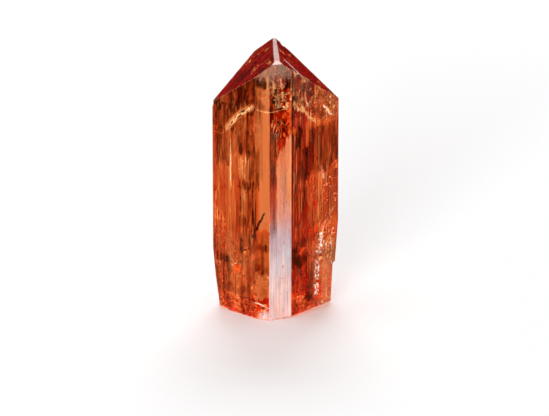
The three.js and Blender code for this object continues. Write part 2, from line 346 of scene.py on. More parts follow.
# Thin strands and chips inside the crystal: their profile, how uneven they are and how far they stray
PROFILE_POINTS = 8
THINNESS = 0.22
STRAND_POINTS = 36
STRAND_FULL, STRAND_UNEVEN, STRAND_BEAD = 0.8, 0.35, 0.9
STRAND_STRAY, STRAND_WAVE = 0.15, 2.2
BRAID_STRANDS, BRAID_SHARE, BRAID_SWAY, BRAID_STEP = 3, 0.24, 0.42, 0.08
FROND_STOPS = 5
FROND_CURL = 35.0
FROND_DEPTH = (0.3, 0.9)
UPRIGHT_POINTS = 7
UPRIGHT_LEAN = (-0.6, 0.6)
UPRIGHT_CURL = 1.0
CHIP_RINGS = 5
CHIP_RAGGED = (0.6, 1.15)
CHIP_BEND, CHIP_TWIST, CHIP_LEAN = 0.5, 0.6, 0.6
INNER_MARGIN = 0.2
FOOT_MARGIN = 1.2

# Mesh density: points along each half of the outline, across the ridge, up the prism and inwards
HALF_COLUMNS = 210
RIDGE_COLUMNS = 4
PRISM_ROWS = 150
RIM_ROW = 0.9965
ROOF_COLUMNS = 26
ROOF_EDGE = 0.012
FOOT_RINGS = 22
ROOF_INWARD = np.concatenate([[0, ROOF_EDGE], np.linspace(0, 1, ROOF_COLUMNS)[1:-1], [1 - ROOF_EDGE, 1]])

# What a column pays for lying beyond a face's ends, how near points are joined, and the values kept at points
OFF_FACE_COST = 4
SAME_POINT = 0.0002
POINT_VALUES = ("frost", "tone", "shade", "mosaic", "around")

# Clear topaz
TOPAZ_IOR = 1.62
CLEAR_ROUGHNESS = 0.02
TOPAZ_ABSORPTION = (0.94, 0.46, 0.0, 1)
TOPAZ_DENSITY = 140.0
SHADOW_ENTERING = (0.46, 0.29, 0.24, 1)
SHADOW_LEAVING = (0.62, 0.62, 0.62, 1)
DEEPEST_TONE = 1.6
TONE_COLOURS = [
    (0.0, (1, 1, 1)), (0.31, (0.94, 0.52, 0.27)), (0.62, (0.84, 0.23, 0.09)), (1.0, (0.55, 0.08, 0.03)),
]
SHADE_COLOURS = [(0.0, (1, 1, 1)), (0.5, (0.33, 0.23, 0.19)), (1.0, (0.02, 0.01, 0.008))]

# Grain along the crystal: width and length in mm, detail, strip width; its noise range; the values it gives
GRAINS = {
    "broad_streaks": ((1.9, 18, 2, 0.0), (0.40, 0.60), (-0.4, 0.4)),
    "fine_streaks": ((0.7, 10, 2, 0.3), (0.35, 0.65), (-0.25, 0.25)),
    "patches": ((0.9, 4.5, 4, 0.4), (0.36, 0.62), (0.4, 1.4)),
    "threads": ((0.4, 14, 2, 0.0), (0.62, 0.68), (0.0, 0.6)),
    "bars": ((1.4, 16, 2, 0.0), (0.60, 0.64), (0.0, 0.36)),
    "hairs": ((0.16, 14, 4, 0.0), (0.3, 0.7), (0.6, 1.15)),
    "clouds": ((1.4, 5, 4, 0.0), (0.35, 0.65), (0.75, 1.1)),
    "pits": ((0.42, 1.1, 2, 0.0), (0.30, 0.35), (0.05, 1.0)),
}
SATIN_GRAIN = (0.5, 7, 4, 0.0)
GRAIN_ROUGHNESS = 0.6

# Shards and crumbs, painted reflection and shade of inner cracks: their size as rates per metre, and the
# noise range and values of each
SHARD_RATE = (0.5 / MM, 0.5 / MM, 0.32 / MM)
CRUMB_RATE = 0.9 / MM
SHARD_TONE = (0, 1, -0.7, 0.25)
SHARD_SHADE = (0.75, 0.95, 0, 0.4)
CRUMB_SHADE = (0.54, 0.66, 0, 0.4)

# Frosted skin: its colours, the heights in mm between which they change, and the tones that they go with
SKIN_ROUGHNESS = 0.42
# Satin colours, whitish low down and bluer higher up: the face's frost and a painted reflection
SATIN_COLOURS = [(0.38, (0.68, 0.49, 0.43)), (0.5, (0.62, 0.51, 0.48)), (0.64, (0.44, 0.46, 0.50))]
SATIN_BLUER = ((7, 11), -0.05, 0.13)
WARM_START = (16, 20)
WARM_SPAN = (16, 50)
WARM_COLOURS = [
    (0.0, (0.76, 0.44, 0.36)), (0.235, (0.74, 0.31, 0.17)), (0.52, (0.74, 0.22, 0.06)),
    (0.64, (0.55, 0.33, 0.22)), (0.9, (0.38, 0.28, 0.19)), (1.0, (0.36, 0.27, 0.19)),
]
DEEP_SKIN = (0.80, 0.30, 0.12, 1)
DEEP_TONES = (0.18, 0.34)
ROOF_SKIN = (0.68, 0.53, 0.48, 1)
ROOF_TONES = (0.02, 0.08)
ROOF_START = (36, 38)
# How thin the frost gets under the brown tint and painted shade
FROST_UNDER_SHADE = 0.3

# Films inside the crystal: dark, middle and bright colour, roughness, metallic and grain size in mm
FILMS = {
    "gold_vein": ([(0.62, 0.26, 0.07), (0.95, 0.58, 0.22), (1.0, 0.88, 0.6)], 0.35, 0.0, 0.5),
    "growth_tube": ([(1.0, 0.55, 0.2), (1.0, 0.8, 0.42), (1.0, 0.92, 0.7)], 0.4, 0.0, 0.7),
    "feather_film": ([(0.24, 0.08, 0.02), (0.8, 0.42, 0.16), (1.0, 0.84, 0.58)], 0.35, 0.0, 0.35),
    "dark_mark": ([(0.012, 0.004, 0.003), (0.04, 0.01, 0.005), (0.12, 0.03, 0.01)], 0.6, 0.0, 0.6),
    "red_film": ([(0.30, 0.03, 0.01), (0.75, 0.12, 0.02), (1.0, 0.34, 0.06)], 0.4, 0.0, 0.8),
    "gold_fleck": ([(0.9, 0.40, 0.08), (1.0, 0.62, 0.2), (1.0, 0.85, 0.5)], 0.25, 0.2, 0.6),
    "glint": ([(1.0, 0.92, 0.84), (1.0, 0.99, 0.97), (1.0, 1.0, 1.0)], 0.2, 0.0, 0.6),
}
FILM_SPREAD = (0.3, 0.7)

# Room: what the camera, matt surfaces and the crystal see of it, and its floor
ROOM_SEEN = 1.0
ROOM_EVEN = 0.15
ROOM_DARK = 0.0
ROOM_CEILING = 3.4
CEILING_EDGE = (0.30, 0.75)
FLOOR_HALF = 3.0
FLOOR_DROP = 0.05
FLOOR_COLOUR = (0.9, 0.9, 0.9, 1)
FLOOR_ROUGHNESS = 0.9

# Soft lamps: place and size in metres, power, and whether the crystal's faces mirror them
LAMPS = [
    ("overhead", (-0.2, 0.1, 2.0), 1.2, 18.5, True),
    ("behind", (0.05, 1.2, 1.1), 0.8, 15.5, True),
    ("front", (-0.25, -0.95, 0.10), 0.3, 17.5, False),
]
LAMP_AIM = Vector((0.0, 0.0, 0.02))

# Photo's camera
CAMERA_ELEVATION = math.radians(14.88)
CAMERA_DISTANCE = 0.6126
CAMERA_LENS = 210.9
SENSOR_WIDTH = 36.0
NEAREST_SEEN = 0.01
PHOTO_AIM = Vector((0.0, -0.00047, 0.02477))
PHOTO_CENTRE = Vector((-0.0002, -0.0019, 0.0195))

# How often light may pass or be turned back on its way through the crystal
LIGHT_STEPS = 24
MIRROR_STEPS = 16

# Scattered numbers, and the clouds that are summed from waves of slightly different rates
SCATTER_RATE, SCATTER_START, SCATTER_SIZE = 12.9898, 4.1414, 43758.5453
WAVES = 9
WAVE_RATE, WAVE_RATE_SPREAD, WAVE_GAIN = 0.6, 0.8, 2.2


def scatter(k):
    """A repeatable number from 0 to 1 for each whole number k: the fraction of a large sine."""
    s = np.sin(np.asarray(k, dtype=float) * SCATTER_RATE + SCATTER_START) * SCATTER_SIZE
    return s - np.floor(s)


def between(span, share):
    """The number at a share of the way from a span's first end to its last."""
    low, high = span
    return low + (high - low) * share


def smooth(low, high, value):
    """0 below low, 1 above high and an S-curve between."""
    t = np.clip((np.asarray(value) - low) / (high - low), 0, 1)
    return t * t * (3 - 2 * t)


def waves(x, y, size, seed):
    """A cloudy value from about -1 to 1: the mean of waves of like length in scattered directions."""
    k = np.arange(WAVES) + 31 * seed
    turn = 2 * np.pi * scatter(k)
    phase = 2 * np.pi * scatter(k + 1000)
    rate = (2 * np.pi / size) * (WAVE_RATE + WAVE_RATE_SPREAD * scatter(k + 2000))
    x, y = np.asarray(x)[..., None], np.asarray(y)[..., None]
    return np.sin(rate * (x * np.cos(turn) + y * np.sin(turn)) + phase).mean(axis=-1) * WAVE_GAIN


def face_normal(angle):
    """Horizontal outward normal of faces turned by these degrees from the front."""
    a = np.radians(angle)
    return np.stack([np.sin(a), -np.cos(a)], axis=-1)


def section_corners():
    """Start and end corner of each prism face: each is the crossing of two neighbouring face lines."""
    normals = face_normal(FACE_ANGLES)
    pairs = np.stack([normals, np.roll(normals, -1, axis=0)], axis=1)
    sides = np.stack([FACE_DISTANCES, np.roll(FACE_DISTANCES, -1)], axis=1)
    ends = np.linalg.solve(pairs, sides[..., None])[..., 0]
    return np.roll(ends, 1, axis=0), ends


def striated_edge(start, end, angle, strips, seed):
    """Points of one face in plan: strips that fall behind the face and return over short risers."""
    k = np.arange(1, strips)
    middle = (k + STRIATION_JITTER * (scatter(seed + k) - 0.5)) / strips
    riser = STRIATION_RISER / strips
    depth = between(STRIATION_DEPTH, scatter(seed + 50 + k))
    falls_first = scatter(seed + 90 + k) < 0.5
    t = np.stack([middle - riser, middle + riser], axis=1).ravel()
    d = np.stack([np.where(falls_first, depth, 0), np.where(falls_first, 0, depth)], axis=1).ravel()
    t = np.concatenate([[0], t])
    d = np.concatenate([[0], d])
    return start + np.outer(t, end - start) - np.outer(d, face_normal(angle))


def section_outline():
    """The striated outline, going round from the front to the right, centred on its own box."""
    starts, ends = section_corners()
    rows = [
        striated_edge(starts[i], ends[i], FACE_ANGLES[i], FACE_STRIPS[i], 200 * (i + 1))
        for i in PRISM_FACES
    ]
    outline = np.concatenate(rows)
    centre = (outline.min(axis=0) + outline.max(axis=0)) / 2
    return outline - centre, starts - centre, ends - centre


OUTLINE, FACE_STARTS, FACE_ENDS = section_outline()


def ridge_distance(xy):
    """How far points lie to the right of the ridge line."""
    return xy[..., 0] * math.cos(RIDGE_TURN) + xy[..., 1] * math.sin(RIDGE_TURN)


def roof_planes(xy):
    """Heights of the two roof planes, the worn flat on the ridge and the facet that cuts its front end."""
    run = ridge_distance(xy)
    left = RIDGE_HEIGHT + CREST_RISE + run * math.tan(ROOF_SLOPES[0])
    right = RIDGE_HEIGHT + CREST_RISE - run * math.tan(ROOF_SLOPES[1])
    flat = RIDGE_HEIGHT + xy[..., 1] * math.tan(RIDGE_FALL)
    inside = (FACE_STARTS[RIGHT_M] - xy) @ face_normal(FACE_ANGLES[RIGHT_M])
    tip = RIDGE_HEIGHT + (inside - TIP_BACK) * math.tan(TIP_SLOPE)
    return np.stack([left, right, flat, tip])


def roof_height(xy):
    """The lowest of the roof's planes."""
    return roof_planes(xy).min(axis=0)


def on_tip(xy):
    """Whether the lowest plane here is the last one, the small front facet."""
    planes = roof_planes(xy)
    return planes.argmin(axis=0) == len(planes) - 1


def flat_edge_run(y, side):
    """Distance from the ridge line to the flat's left (0) or right (1) edge, where flat meets roof."""
    crest = CREST_RISE - y * math.tan(RIDGE_FALL)
    return (2 * side - 1) * crest / math.tan(ROOF_SLOPES[side])


def foot_height(xy):
    """Height of the broken foot's edge: flat, rising outwards beyond each chip's line."""
    height = np.zeros(xy.shape[:-1])
    for angle, rise, start in FOOT_CHIPS:
        beyond = xy @ face_normal(angle) - start
        height = np.maximum(height, beyond * math.tan(math.radians(rise)))
    return height


def foot_hollows(xy):
    """Depth of the shell-like hollows under the foot: folded waves, whose ridges touch down."""
    broad = np.abs(waves(xy[..., 0], xy[..., 1], BROAD_HOLLOW, 5))
    small = np.abs(waves(xy[..., 0], xy[..., 1], SMALL_HOLLOW, 6))
    return FOOT_RELIEF * (broad + SMALL_HOLLOW_SHARE * small)


def side_limits(z):
    """Smallest and largest x of the flanks at height z."""
    right = HALF_WIDTH - np.maximum(RIGHT_FLANK[0] - z, 0) * math.tan(math.radians(RIGHT_FLANK[1]))
    above = (z - NOTCH_HEIGHT) / math.tan(math.radians(NOTCH_LEDGE))
    below = (z - NOTCH_HEIGHT) * math.tan(math.radians(NOTCH_LEAN))
    notch = HALF_WIDTH - NOTCH_INSET + np.where(z > NOTCH_HEIGHT, above, below)
    left = np.full_like(z, HALF_WIDTH)
    inset = 0.0
    for i, (height, lean) in enumerate(LEFT_FLANKS):
        if i:
            last_height, last_lean = LEFT_FLANKS[i - 1]
            inset += (last_height - height) * math.tan(math.radians(last_lean))
        leaning = HALF_WIDTH - inset - (height - z) * math.tan(math.radians(lean))
        left = np.minimum(left, np.where(z < height, leaning, HALF_WIDTH))
    return -left, np.minimum(right, notch)


def press_scoop(points, centre, size):
    """Points inside an ellipsoid go on towards the crystal's middle until they meet its far wall."""
    centre, size = np.array(centre), np.array(size)
    middle = np.array([0.0, 0.0, np.clip(centre[2], *SCOOP_AIM)])
    away = (middle - centre) / np.linalg.norm(middle - centre)
    p = (points - centre) / size
    d = away / size
    b = p @ d
    c = np.sum(p * p, axis=-1) - 1
    a = d @ d
    reach = (-b + np.sqrt(np.maximum(b * b - a * c, 0))) / a
    return points + np.where(c < 0, reach, 0)[..., None] * away


def along_outline(line, count):
    """count points along an open line that keep every corner, with the rest spread evenly by length."""
    length = np.concatenate([[0], np.cumsum(np.linalg.norm(np.diff(line, axis=0), axis=1))])
    spare = count - len(line)
    even = (np.arange(spare) + 0.5) / spare * length[-1]
    at = np.sort(np.concatenate([length, even]))
    xy = np.stack([np.interp(at, length, line[:, 0]), np.interp(at, length, line[:, 1])], axis=1)
    return xy, at / length[-1]


def crossing(side, at_back):
    """Where the flat's edge crosses the outline at the front or back: its place in the list and its point."""
    gap = ridge_distance(OUTLINE) - flat_edge_run(OUTLINE[:, 1], side)
    step = np.roll(gap, -1)
    crosses = (gap * step <= 0) & ((OUTLINE[:, 1] > 0) == at_back)
    i = int(np.nonzero(crosses)[0][0])
    t = gap[i] / (gap[i] - step[i])
    return i, OUTLINE[i] + t * (OUTLINE[(i + 1) % len(OUTLINE)] - OUTLINE[i])


def arc(first, last):
    """The stretch of outline between two crossings, going round to the right."""
    (i, start), (j, end) = first, last
    count = (j - i) % len(OUTLINE)
    inner = OUTLINE[(i + 1 + np.arange(count)) % len(OUTLINE)]
    return np.concatenate([[start], inner, [end]])


def crystal_columns():
    """The outline as mesh columns in four arcs: right of the ridge, its back end, left of it, front end."""
    front = [crossing(side, False) for side in (0, 1)]
    back = [crossing(side, True) for side in (0, 1)]
    right, right_at = along_outline(arc(front[1], back[1]), HALF_COLUMNS)
    left, left_at = along_outline(arc(back[0], front[0]), HALF_COLUMNS)
    t = np.linspace(0, 1, RIDGE_COLUMNS + 2)[:, None]
    back_end = back[1][1] + t * (back[0][1] - back[1][1])
    front_end = front[0][1] + t * (front[1][1] - front[0][1])
    xy = np.concatenate([right, back_end[1:-1], left, front_end[1:-1]])
    return xy, right_at, left_at


def across_faces(xy):
    """For each column: its prism face, how far it lies across and behind that face, and the face's normal."""
    middle = (FACE_STARTS + FACE_ENDS) / 2
    along = (FACE_ENDS - FACE_STARTS) / np.linalg.norm(FACE_ENDS - FACE_STARTS, axis=1)[:, None]
    out = face_normal(FACE_ANGLES)
    offset = xy[:, None, :] - middle
    across = np.einsum("cfk,fk->cf", offset, along)
    behind = np.abs(np.einsum("cfk,fk->cf", offset, out))
    reach = np.linalg.norm(FACE_ENDS - FACE_STARTS, axis=1) / 2
    outside = np.maximum(np.abs(across) - reach, 0)
    face = np.argmin(behind + OFF_FACE_COST * outside, axis=1)
    column = np.arange(len(xy))
    return face, across[column, face], behind[column, face], out[face]


def girth_place(xy):
    """Distance of each column round the outline from the first one, below zero on the way back to it."""
    steps = np.linalg.norm(np.diff(xy, axis=0, append=xy[:1]), axis=1)
    girth = np.concatenate([[0], np.cumsum(steps)])
    return np.where(girth[:-1] < girth[-1] / 2, girth[:-1], girth[:-1] - girth[-1])


def levelled(face, across, z):
    """Share by which the strips are filled up to their face: in long patches, and all over on the m faces."""
    place = LEVEL_SLENDER * across[:, None] + LEVEL_FACE_SHIFT * face[:, None]
    patches = smooth(*LEVEL_CUT, waves(place, z, LEVEL_SIZE, 8))
    return np.maximum(patches, np.isin(face, LEVEL_FACES)[:, None])


def fine_striae(face, across, z):
    """Depth of fine grooves on columns by rows: each one's profile across its face times its length up it."""
    k = np.arange(GROOVES)
    on = np.floor(scatter(k) * len(PRISM_FACES)).astype(int)
    middle = (scatter(k + 500) - 0.5) * GROOVE_SPREAD
    half = between(GROOVE_HALF, scatter(k + 1000) ** 2)
    low = between(GROOVE_FROM, scatter(k + 1500))
    high = low + between(GROOVE_LENGTH, scatter(k + 2000))
    depth = between(GROOVE_DEPTH, scatter(k + 2500) ** 2)
    apart = np.abs(across[:, None] - middle) / half
    profile = (face[:, None] == on) * np.clip(GROOVE_SIDE * (1 - apart), 0, 1)
    starts = smooth(low, low + GROOVE_END, z[:, None])
    ends = smooth(high - GROOVE_END, high, z[:, None])
    return profile @ (depth * starts * (1 - ends)).T


def plate_relief(face, across, z):
    """Raised height of the growth plates: each a blade with straight sides and slanting ends."""
    relief = np.zeros(z.shape)
    for on, start, end, low, high, drop in PLATES:
        t = np.clip((across - start) / (end - start), 0, 1)[:, None]
        top = high - abs(drop) * (t if drop > 0 else 1 - t)
        bottom = low + abs(drop) * t
        inside = (across > start) & (across < end) & (face == on)
        relief += inside[:, None] * (z > bottom) * (z < top) * PLATE_THICKNESS
    return relief


def veil_field(face, across, z, veils):
    """Sum of boxes on the faces, each of its own strength; every narrow strip ends at its own height."""
    field = np.zeros(z.shape)
    strip = np.floor(across / VEIL_STRIP)
    for i, (on, start, end, low, high, strength) in enumerate(veils):
        left = smooth(start - VEIL_EDGE, start + VEIL_EDGE, across)
        right = smooth(end - VEIL_EDGE, end + VEIL_EDGE, across)
        reach = min(VEIL_RAGGED, 0.5 * (high - low))
        foot = (low + reach * (scatter(strip + 57 * i) - 0.5))[:, None]
        head = (high + reach * (scatter(strip + 57 * i + 29) - 0.5))[:, None]
        below = smooth(foot - VEIL_END, foot + VEIL_END, z)
        above = smooth(head - VEIL_END, head + VEIL_END, z)
        on_face_part = (face == on) * left * (1 - right)
        field += strength * on_face_part[:, None] * below * (1 - above)
    return field


def apart_from(x, y, start, end):
    """Distance of points from the straight stretch between two points."""
    dx, dy = end[0] - start[0], end[1] - start[1]
    t = np.clip(((x - start[0]) * dx + (y - start[1]) * dy) / (dx * dx + dy * dy), 0, 1)
    return np.hypot(x - start[0] - t * dx, y - start[1] - t * dy)


def cleared_field(face, across, z):
    """1 on the lines of the bright veins and 0 away from them, by the distance to each straight stretch."""
    field = np.zeros(z.shape)
    for route, reach in CLEARED:
        for start, end in zip(route, route[1:]):
            apart = apart_from(across[:, None], z, start[1:], end[1:])
            near = (face == start[0])[:, None] * (1 - smooth(CLEARED_CORE * reach, reach, apart))
            field = np.maximum(field, near)
    return field


def satin_frost_and_reflection(across, z):
    """Frost on the satin face, partly a painted reflection of a lamp: strong at the foot and thin above, up
    to a slanting ragged edge.

    On a strip at its left it fades lower down and keeps only a share.
    """
    strength = between(SATIN_FROST_AND_REFLECTION, smooth(*SATIN_FADE, z))
    ragged = WINDOW_RAGGED * waves(across, 0 * across, WINDOW_WAVE, 12)
    end = WINDOW_TOP + WINDOW_RISE * (across - WINDOW_SIDE) + ragged
    window = 1 - smooth(-WINDOW_EDGE, WINDOW_EDGE, z - end[:, None])
    strip = (1 - (1 - STRIP_SHARE) * smooth(*STRIP_FADE, z)) * (1 - smooth(*STRIP_TOP, z))
    side = WINDOW_SIDE + WINDOW_SIDE_STRAY * waves(z, 0 * z, WINDOW_SIDE_WAVE, 13)
    right = smooth(-WINDOW_SIDE_EDGE, WINDOW_SIDE_EDGE, across[:, None] - side)
    return strength * (strip + right * (window - strip))


def prism_frost(face, across, z, top):
    """How frosted the prism is: satin face with its painted reflection, hazy and chipped patches, worn edges,
    rim and scuffed foot.
    """
    satin = (face == RIGHT_M)[:, None]
    frost = np.maximum(satin * satin_frost_and_reflection(across, z), veil_field(face, across, z, FROST_PATCHES))
    corner = np.diff(face, append=face[:1]) != 0
    corner = corner | np.roll(corner, 1)
    frost = np.maximum(frost, EDGE_FROST * corner[:, None])
    frost = np.maximum(frost, RIM_FROST * (1 - smooth(0, RIM_WEAR, top[:, None] - z)))
    return np.maximum(frost, FOOT_RIM_FROST * (1 - smooth(0, FOOT_WEAR, z)))


def prism_values(face, across, z, top):
    """Frost, depth of colour and brown tint, both partly painted light and shade, and share of painted shards
    on the prism, faded out along the bright veins.
    """
    on = face[:, None]
    own_tone = np.array([FACE_TONES[i] for i in PRISM_FACES])[face][:, None]
    under_roof_too = (on != LEFT_M) * smooth(*MOSAIC_UNDER_ROOF, z)
    mosaic = (on != RIGHT_M) * (1 - smooth(*MOSAIC_TOP, z) + under_roof_too)
    values = {
        "frost": prism_frost(face, across, z, top),
        "tone": np.maximum(own_tone + veil_field(face, across, z, DEPTH_BOXES_AND_PAINTED_LIGHT), 0),
        "shade": veil_field(face, across, z, BROWN_TINT_AND_PAINTED_SHADE),
        "mosaic": np.where(on == LEFT_M, MOSAIC_LEFT_M * mosaic, mosaic),
    }
    kept = 1 - cleared_field(face, across, z)
    return {label: (value * kept).T for label, value in values.items()}


def prism_plan(xy, face, across, behind, out):
    """Plan and height of the prism, columns by rows: the outline with its relief, drawn up from foot to roof.

    The flanks clip it, and where that moves its foot, the heights are worked out once more.
    """
    up = np.sort(np.append(np.linspace(0, 1, PRISM_ROWS), RIM_ROW))
    z = np.outer(roof_height(xy), up)
    relief = plate_relief(face, across, z) - fine_striae(face, across, z.mean(axis=0))
    relief += behind[:, None] * levelled(face, across, z)
    plan = xy[:, None, :] + relief[..., None] * out[:, None, :]
    top = roof_height(plan[:, -1])
    for _ in range(2):
        lowest = foot_height(plan[:, 0])
        z = lowest[:, None] + (top - lowest)[:, None] * up
        low_x, high_x = side_limits(z)
        plan[..., 0] = np.clip(plan[..., 0], low_x, high_x)
    return plan, z, top


def rim_arcs(rim):
    """The rim cut at the ridge's ends: right half, back end, left half and front end, which share points."""
    right = rim[:HALF_COLUMNS]
    back = rim[HALF_COLUMNS - 1:HALF_COLUMNS + RIDGE_COLUMNS + 1]
    left = rim[HALF_COLUMNS + RIDGE_COLUMNS:2 * HALF_COLUMNS + RIDGE_COLUMNS]
    front = np.concatenate([left[-1:], rim[2 * HALF_COLUMNS + RIDGE_COLUMNS:], right[:1]])
    return right, back, left, front


def roof_grids(rim, right_at, left_at):
    """Right and left roof, each drawn from its half of the rim to the ridge's edge, and the ridge between."""
    right, back, left, front = rim_arcs(rim)
    right_edge = right[0] + right_at[:, None] * (right[-1] - right[0])
    left_edge = left[0] + left_at[:, None] * (left[-1] - left[0])
    over = np.linspace(0, 1, RIDGE_COLUMNS + 2)[:, None, None]
    ridge = right_edge + over * (left_edge[::-1] - right_edge)
    ridge[:, 0] = front[::-1]
    ridge[:, -1] = back
    inward = ROOF_INWARD[:, None, None]
    grids = [right + inward * (right_edge - right), left + inward * (left_edge - left), ridge]
    for grid in grids:
        grid[..., 2] = roof_height(grid[..., :2])
    return grids


def roof_frosts(right_roof, left_roof, ridge):
    """How frosted the roof is: worn at its rim, ridge and small front facet, with a chip on the right; the
    whitish ridge and front facet are also a painted highlight.
    """
    inward = ROOF_INWARD[:, None]
    worn = np.maximum(ROOF_FROST, ROOF_RIM_FROST * (1 - smooth(0, ROOF_EDGE, inward)))
    worn = np.maximum(worn, RIDGE_FROST_AND_HIGHLIGHT * smooth(1 - ROOF_EDGE, 1, inward))
    x, y = right_roof[..., 0], right_roof[..., 1]
    from_chip = apart_from(x, y, *ROOF_CHIP) + ROOF_CHIP_RAGGED * waves(x, y, ROOF_CHIP_WAVE, 15)
    chip = 1 - smooth(0.5 * ROOF_CHIP_HALF, ROOF_CHIP_HALF, from_chip)
    chipped = np.maximum(worn, ROOF_CHIP_FROST * chip)
    pairs = [(right_roof, chipped), (left_roof, worn), (ridge, RIDGE_FROST_AND_HIGHLIGHT)]
    return [np.where(on_tip(grid[..., :2]), TIP_FROST_AND_HIGHLIGHT, frost) for grid, frost in pairs]


def foot_grid(edge):
    """The underside: rings that shrink from the foot's edge to its middle, hollowed out behind the edge."""
    share = np.linspace(0, 1, FOOT_RINGS)[:, None, None]
    foot = edge * (1 - share)
    foot[..., 2] = foot_height(foot[..., :2])
    foot[..., 2] += foot_hollows(foot[..., :2]) * smooth(0, FOOT_RIM, share[..., 0])
    foot[0] = edge
    return foot[::-1]


def grid_faces(rows, columns, first, wrap):
    """Vertex numbers of the quads of a grid whose rows follow one another from first."""
    r = np.arange(rows - 1)[:, None]
    c = np.arange(columns if wrap else columns - 1)[None, :]
    here = first + r * columns + c
    right = first + r * columns + (c + 1) % columns
    return np.stack([here, right, right + columns, here + columns], axis=-1).reshape(-1, 4)


def joined_grids(grids, closed):
    """Points and quads of grids one after another; a closed grid's last column meets its first."""
    points, quads, first = [], [], 0
    for grid, wrap in zip(grids, closed):
        rows, columns = grid.shape[:2]
        points.append(grid.reshape(-1, 3))
        quads.append(grid_faces(rows, columns, first, wrap))
        first += rows * columns
    return np.concatenate(points), np.concatenate(quads)


def crystal_mesh():
    """The crystal as grids that share their edges: prism, two roof faces, the ridge between, and foot."""
    xy, right_at, left_at = crystal_columns()
    face, across, behind, out = across_faces(xy)
    plan, z, top = prism_plan(xy, face, across, behind, out)
    prism = np.concatenate([plan, z[..., None]], axis=-1).transpose(1, 0, 2)
    roofs = roof_grids(prism[-1], right_at, left_at)
    grids = [prism, *roofs, foot_grid(prism[0])]
    on_prism = {**prism_values(face, across, z, top), "around": girth_place(xy)}
    on_roofs = [
        {"frost": frost, "shade": shade, "around": roof[..., 1]}
        for roof, frost, shade in zip(roofs, roof_frosts(*roofs), (ROOF_SHADE, ROOF_SHADE, 0.0))
    ]
    on_grids = [on_prism, *on_roofs, {"frost": FOOT_FROST}]
    points, quads = joined_grids(grids, (True, False, False, False, True))
    values = {}
    for label in POINT_VALUES:
        own = [np.broadcast_to(on.get(label, 0.0), grid.shape[:2]) for grid, on in zip(grids, on_grids)]
        values[label] = np.concatenate([numbers.ravel() for numbers in own])
    for centre, size, worn in SCOOPS:
        pressed = press_scoop(points, centre, size)
        moved = np.any(pressed != points, axis=1)
        values["frost"] = np.where(moved, np.maximum(values["frost"], worn), values["frost"])
        points = pressed
    return points, quads, values


def closed_object(name, points, quads, values, material):
    """A mesh object in metres from points in millimetres, with doubled points joined."""
    mesh = bpy.data.meshes.new(name)
    mesh.from_pydata(points * MM, [], quads)
    for label, numbers in values.items():
        mesh.attributes.new(label, "FLOAT", "POINT").data.foreach_set("value", numbers.astype(np.float32))
    work = bmesh.new()
    work.from_mesh(mesh)
    bmesh.ops.remove_doubles(work, verts=work.verts, dist=SAME_POINT * MM)
    bmesh.ops.dissolve_degenerate(work, edges=work.edges, dist=SAME_POINT * MM)
    work.to_mesh(mesh)
    work.free()
    mesh.materials.append(material)
    obj = bpy.data.objects.new(name, mesh)
    bpy.context.scene.collection.objects.link(obj)
    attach(obj, "root")
    return obj


def put(tree, socket, value):
    """Gives an input what it takes: a link from another socket, or a plain value."""
    if isinstance(value, bpy.types.NodeSocket):
        tree.links.new(value, socket)
    else:
        socket.default_value = value


def node(tree, kind, **inputs):
    """A shader node with its inputs given by name, with _ for each space."""
    made = tree.nodes.new(kind)
    for name, value in inputs.items():
        put(tree, made.inputs[name.replace("_", " ")], value)
    return made


def attribute(tree, name):
    """The piece's own value of this name, kept at its points."""
    made = tree.nodes.new("ShaderNodeAttribute")
    made.attribute_name = name
    return made.outputs["Fac"]


def ramp_of(tree, value, stops):
    """A colour for each value, from places along a ramp and their colours."""
    made = node(tree, "ShaderNodeValToRGB", Fac=value)
    elements = made.color_ramp.elements
    while len(elements) < len(stops):
        elements.new(1.0)
    for element, (place, colour) in zip(elements, stops):
        element.position = place
        element.color = (*colour, 1)
    return made.outputs["Color"]


def mapped(tree, value, low, high, to_low=0.0, to_high=1.0):
    """value carried from one range to another, held inside it."""
    made = node(
        tree, "ShaderNodeMapRange",
        Value=value, From_Min=low, From_Max=high, To_Min=to_low, To_Max=to_high,
    )
    return made.outputs["Result"]


def joined(tree, operation, *values):
    """Values joined two by two with one kind of sum."""
    total = values[0]
    for value in values[1:]:
        made = tree.nodes.new("ShaderNodeMath")
        made.operation = operation
        put(tree, made.inputs[0], total)
        put(tree, made.inputs[1], value)
        total = made.outputs[0]
    return total


def mix_colour(tree, share, first, second, blend="MIX"):
    """Two colours mixed by a share."""
    made = node(tree, "ShaderNodeMixRGB", Fac=share, Color1=first, Color2=second)
    made.blend_type = blend
    return made.outputs["Color"]


def mix_shader(tree, share, first, second):
    """Two shaders mixed by a share."""
    made = node(tree, "ShaderNodeMixShader", Fac=share)
    tree.links.new(first, made.inputs[1])
    tree.links.new(second, made.inputs[2])
    return made.outputs["Shader"]


def fresh_material(name):
    """An empty material and its node tree."""
    material = bpy.data.materials.new(name)
    material.use_nodes = True
    material.node_tree.nodes.clear()
    return material, material.node_tree


def show(tree, surface, volume=None):
    """Ends a material with its surface and, where it has one, its volume."""
    out = tree.nodes.new("ShaderNodeOutputMaterial")
    tree.links.new(surface, out.inputs["Surface"])
    if volume:
        tree.links.new(volume, out.inputs["Volume"])


def crystal_inputs(tree):
    """What the crystal's finish reads: place, height, and the values kept at its points."""
    place = tree.nodes.new("ShaderNodeTexCoord").outputs["Object"]
    height = node(tree, "ShaderNodeSeparateXYZ", Vector=place).outputs["Z"]
    return {"place": place, "height": height, **{label: attribute(tree, label) for label in POINT_VALUES}}


def by_height(tree, own, span, to_low=0.0, to_high=1.0):
    """Height carried from a span in millimetres to other values."""
    return mapped(tree, own["height"], span[0] * MM, span[1] * MM, to_low, to_high)


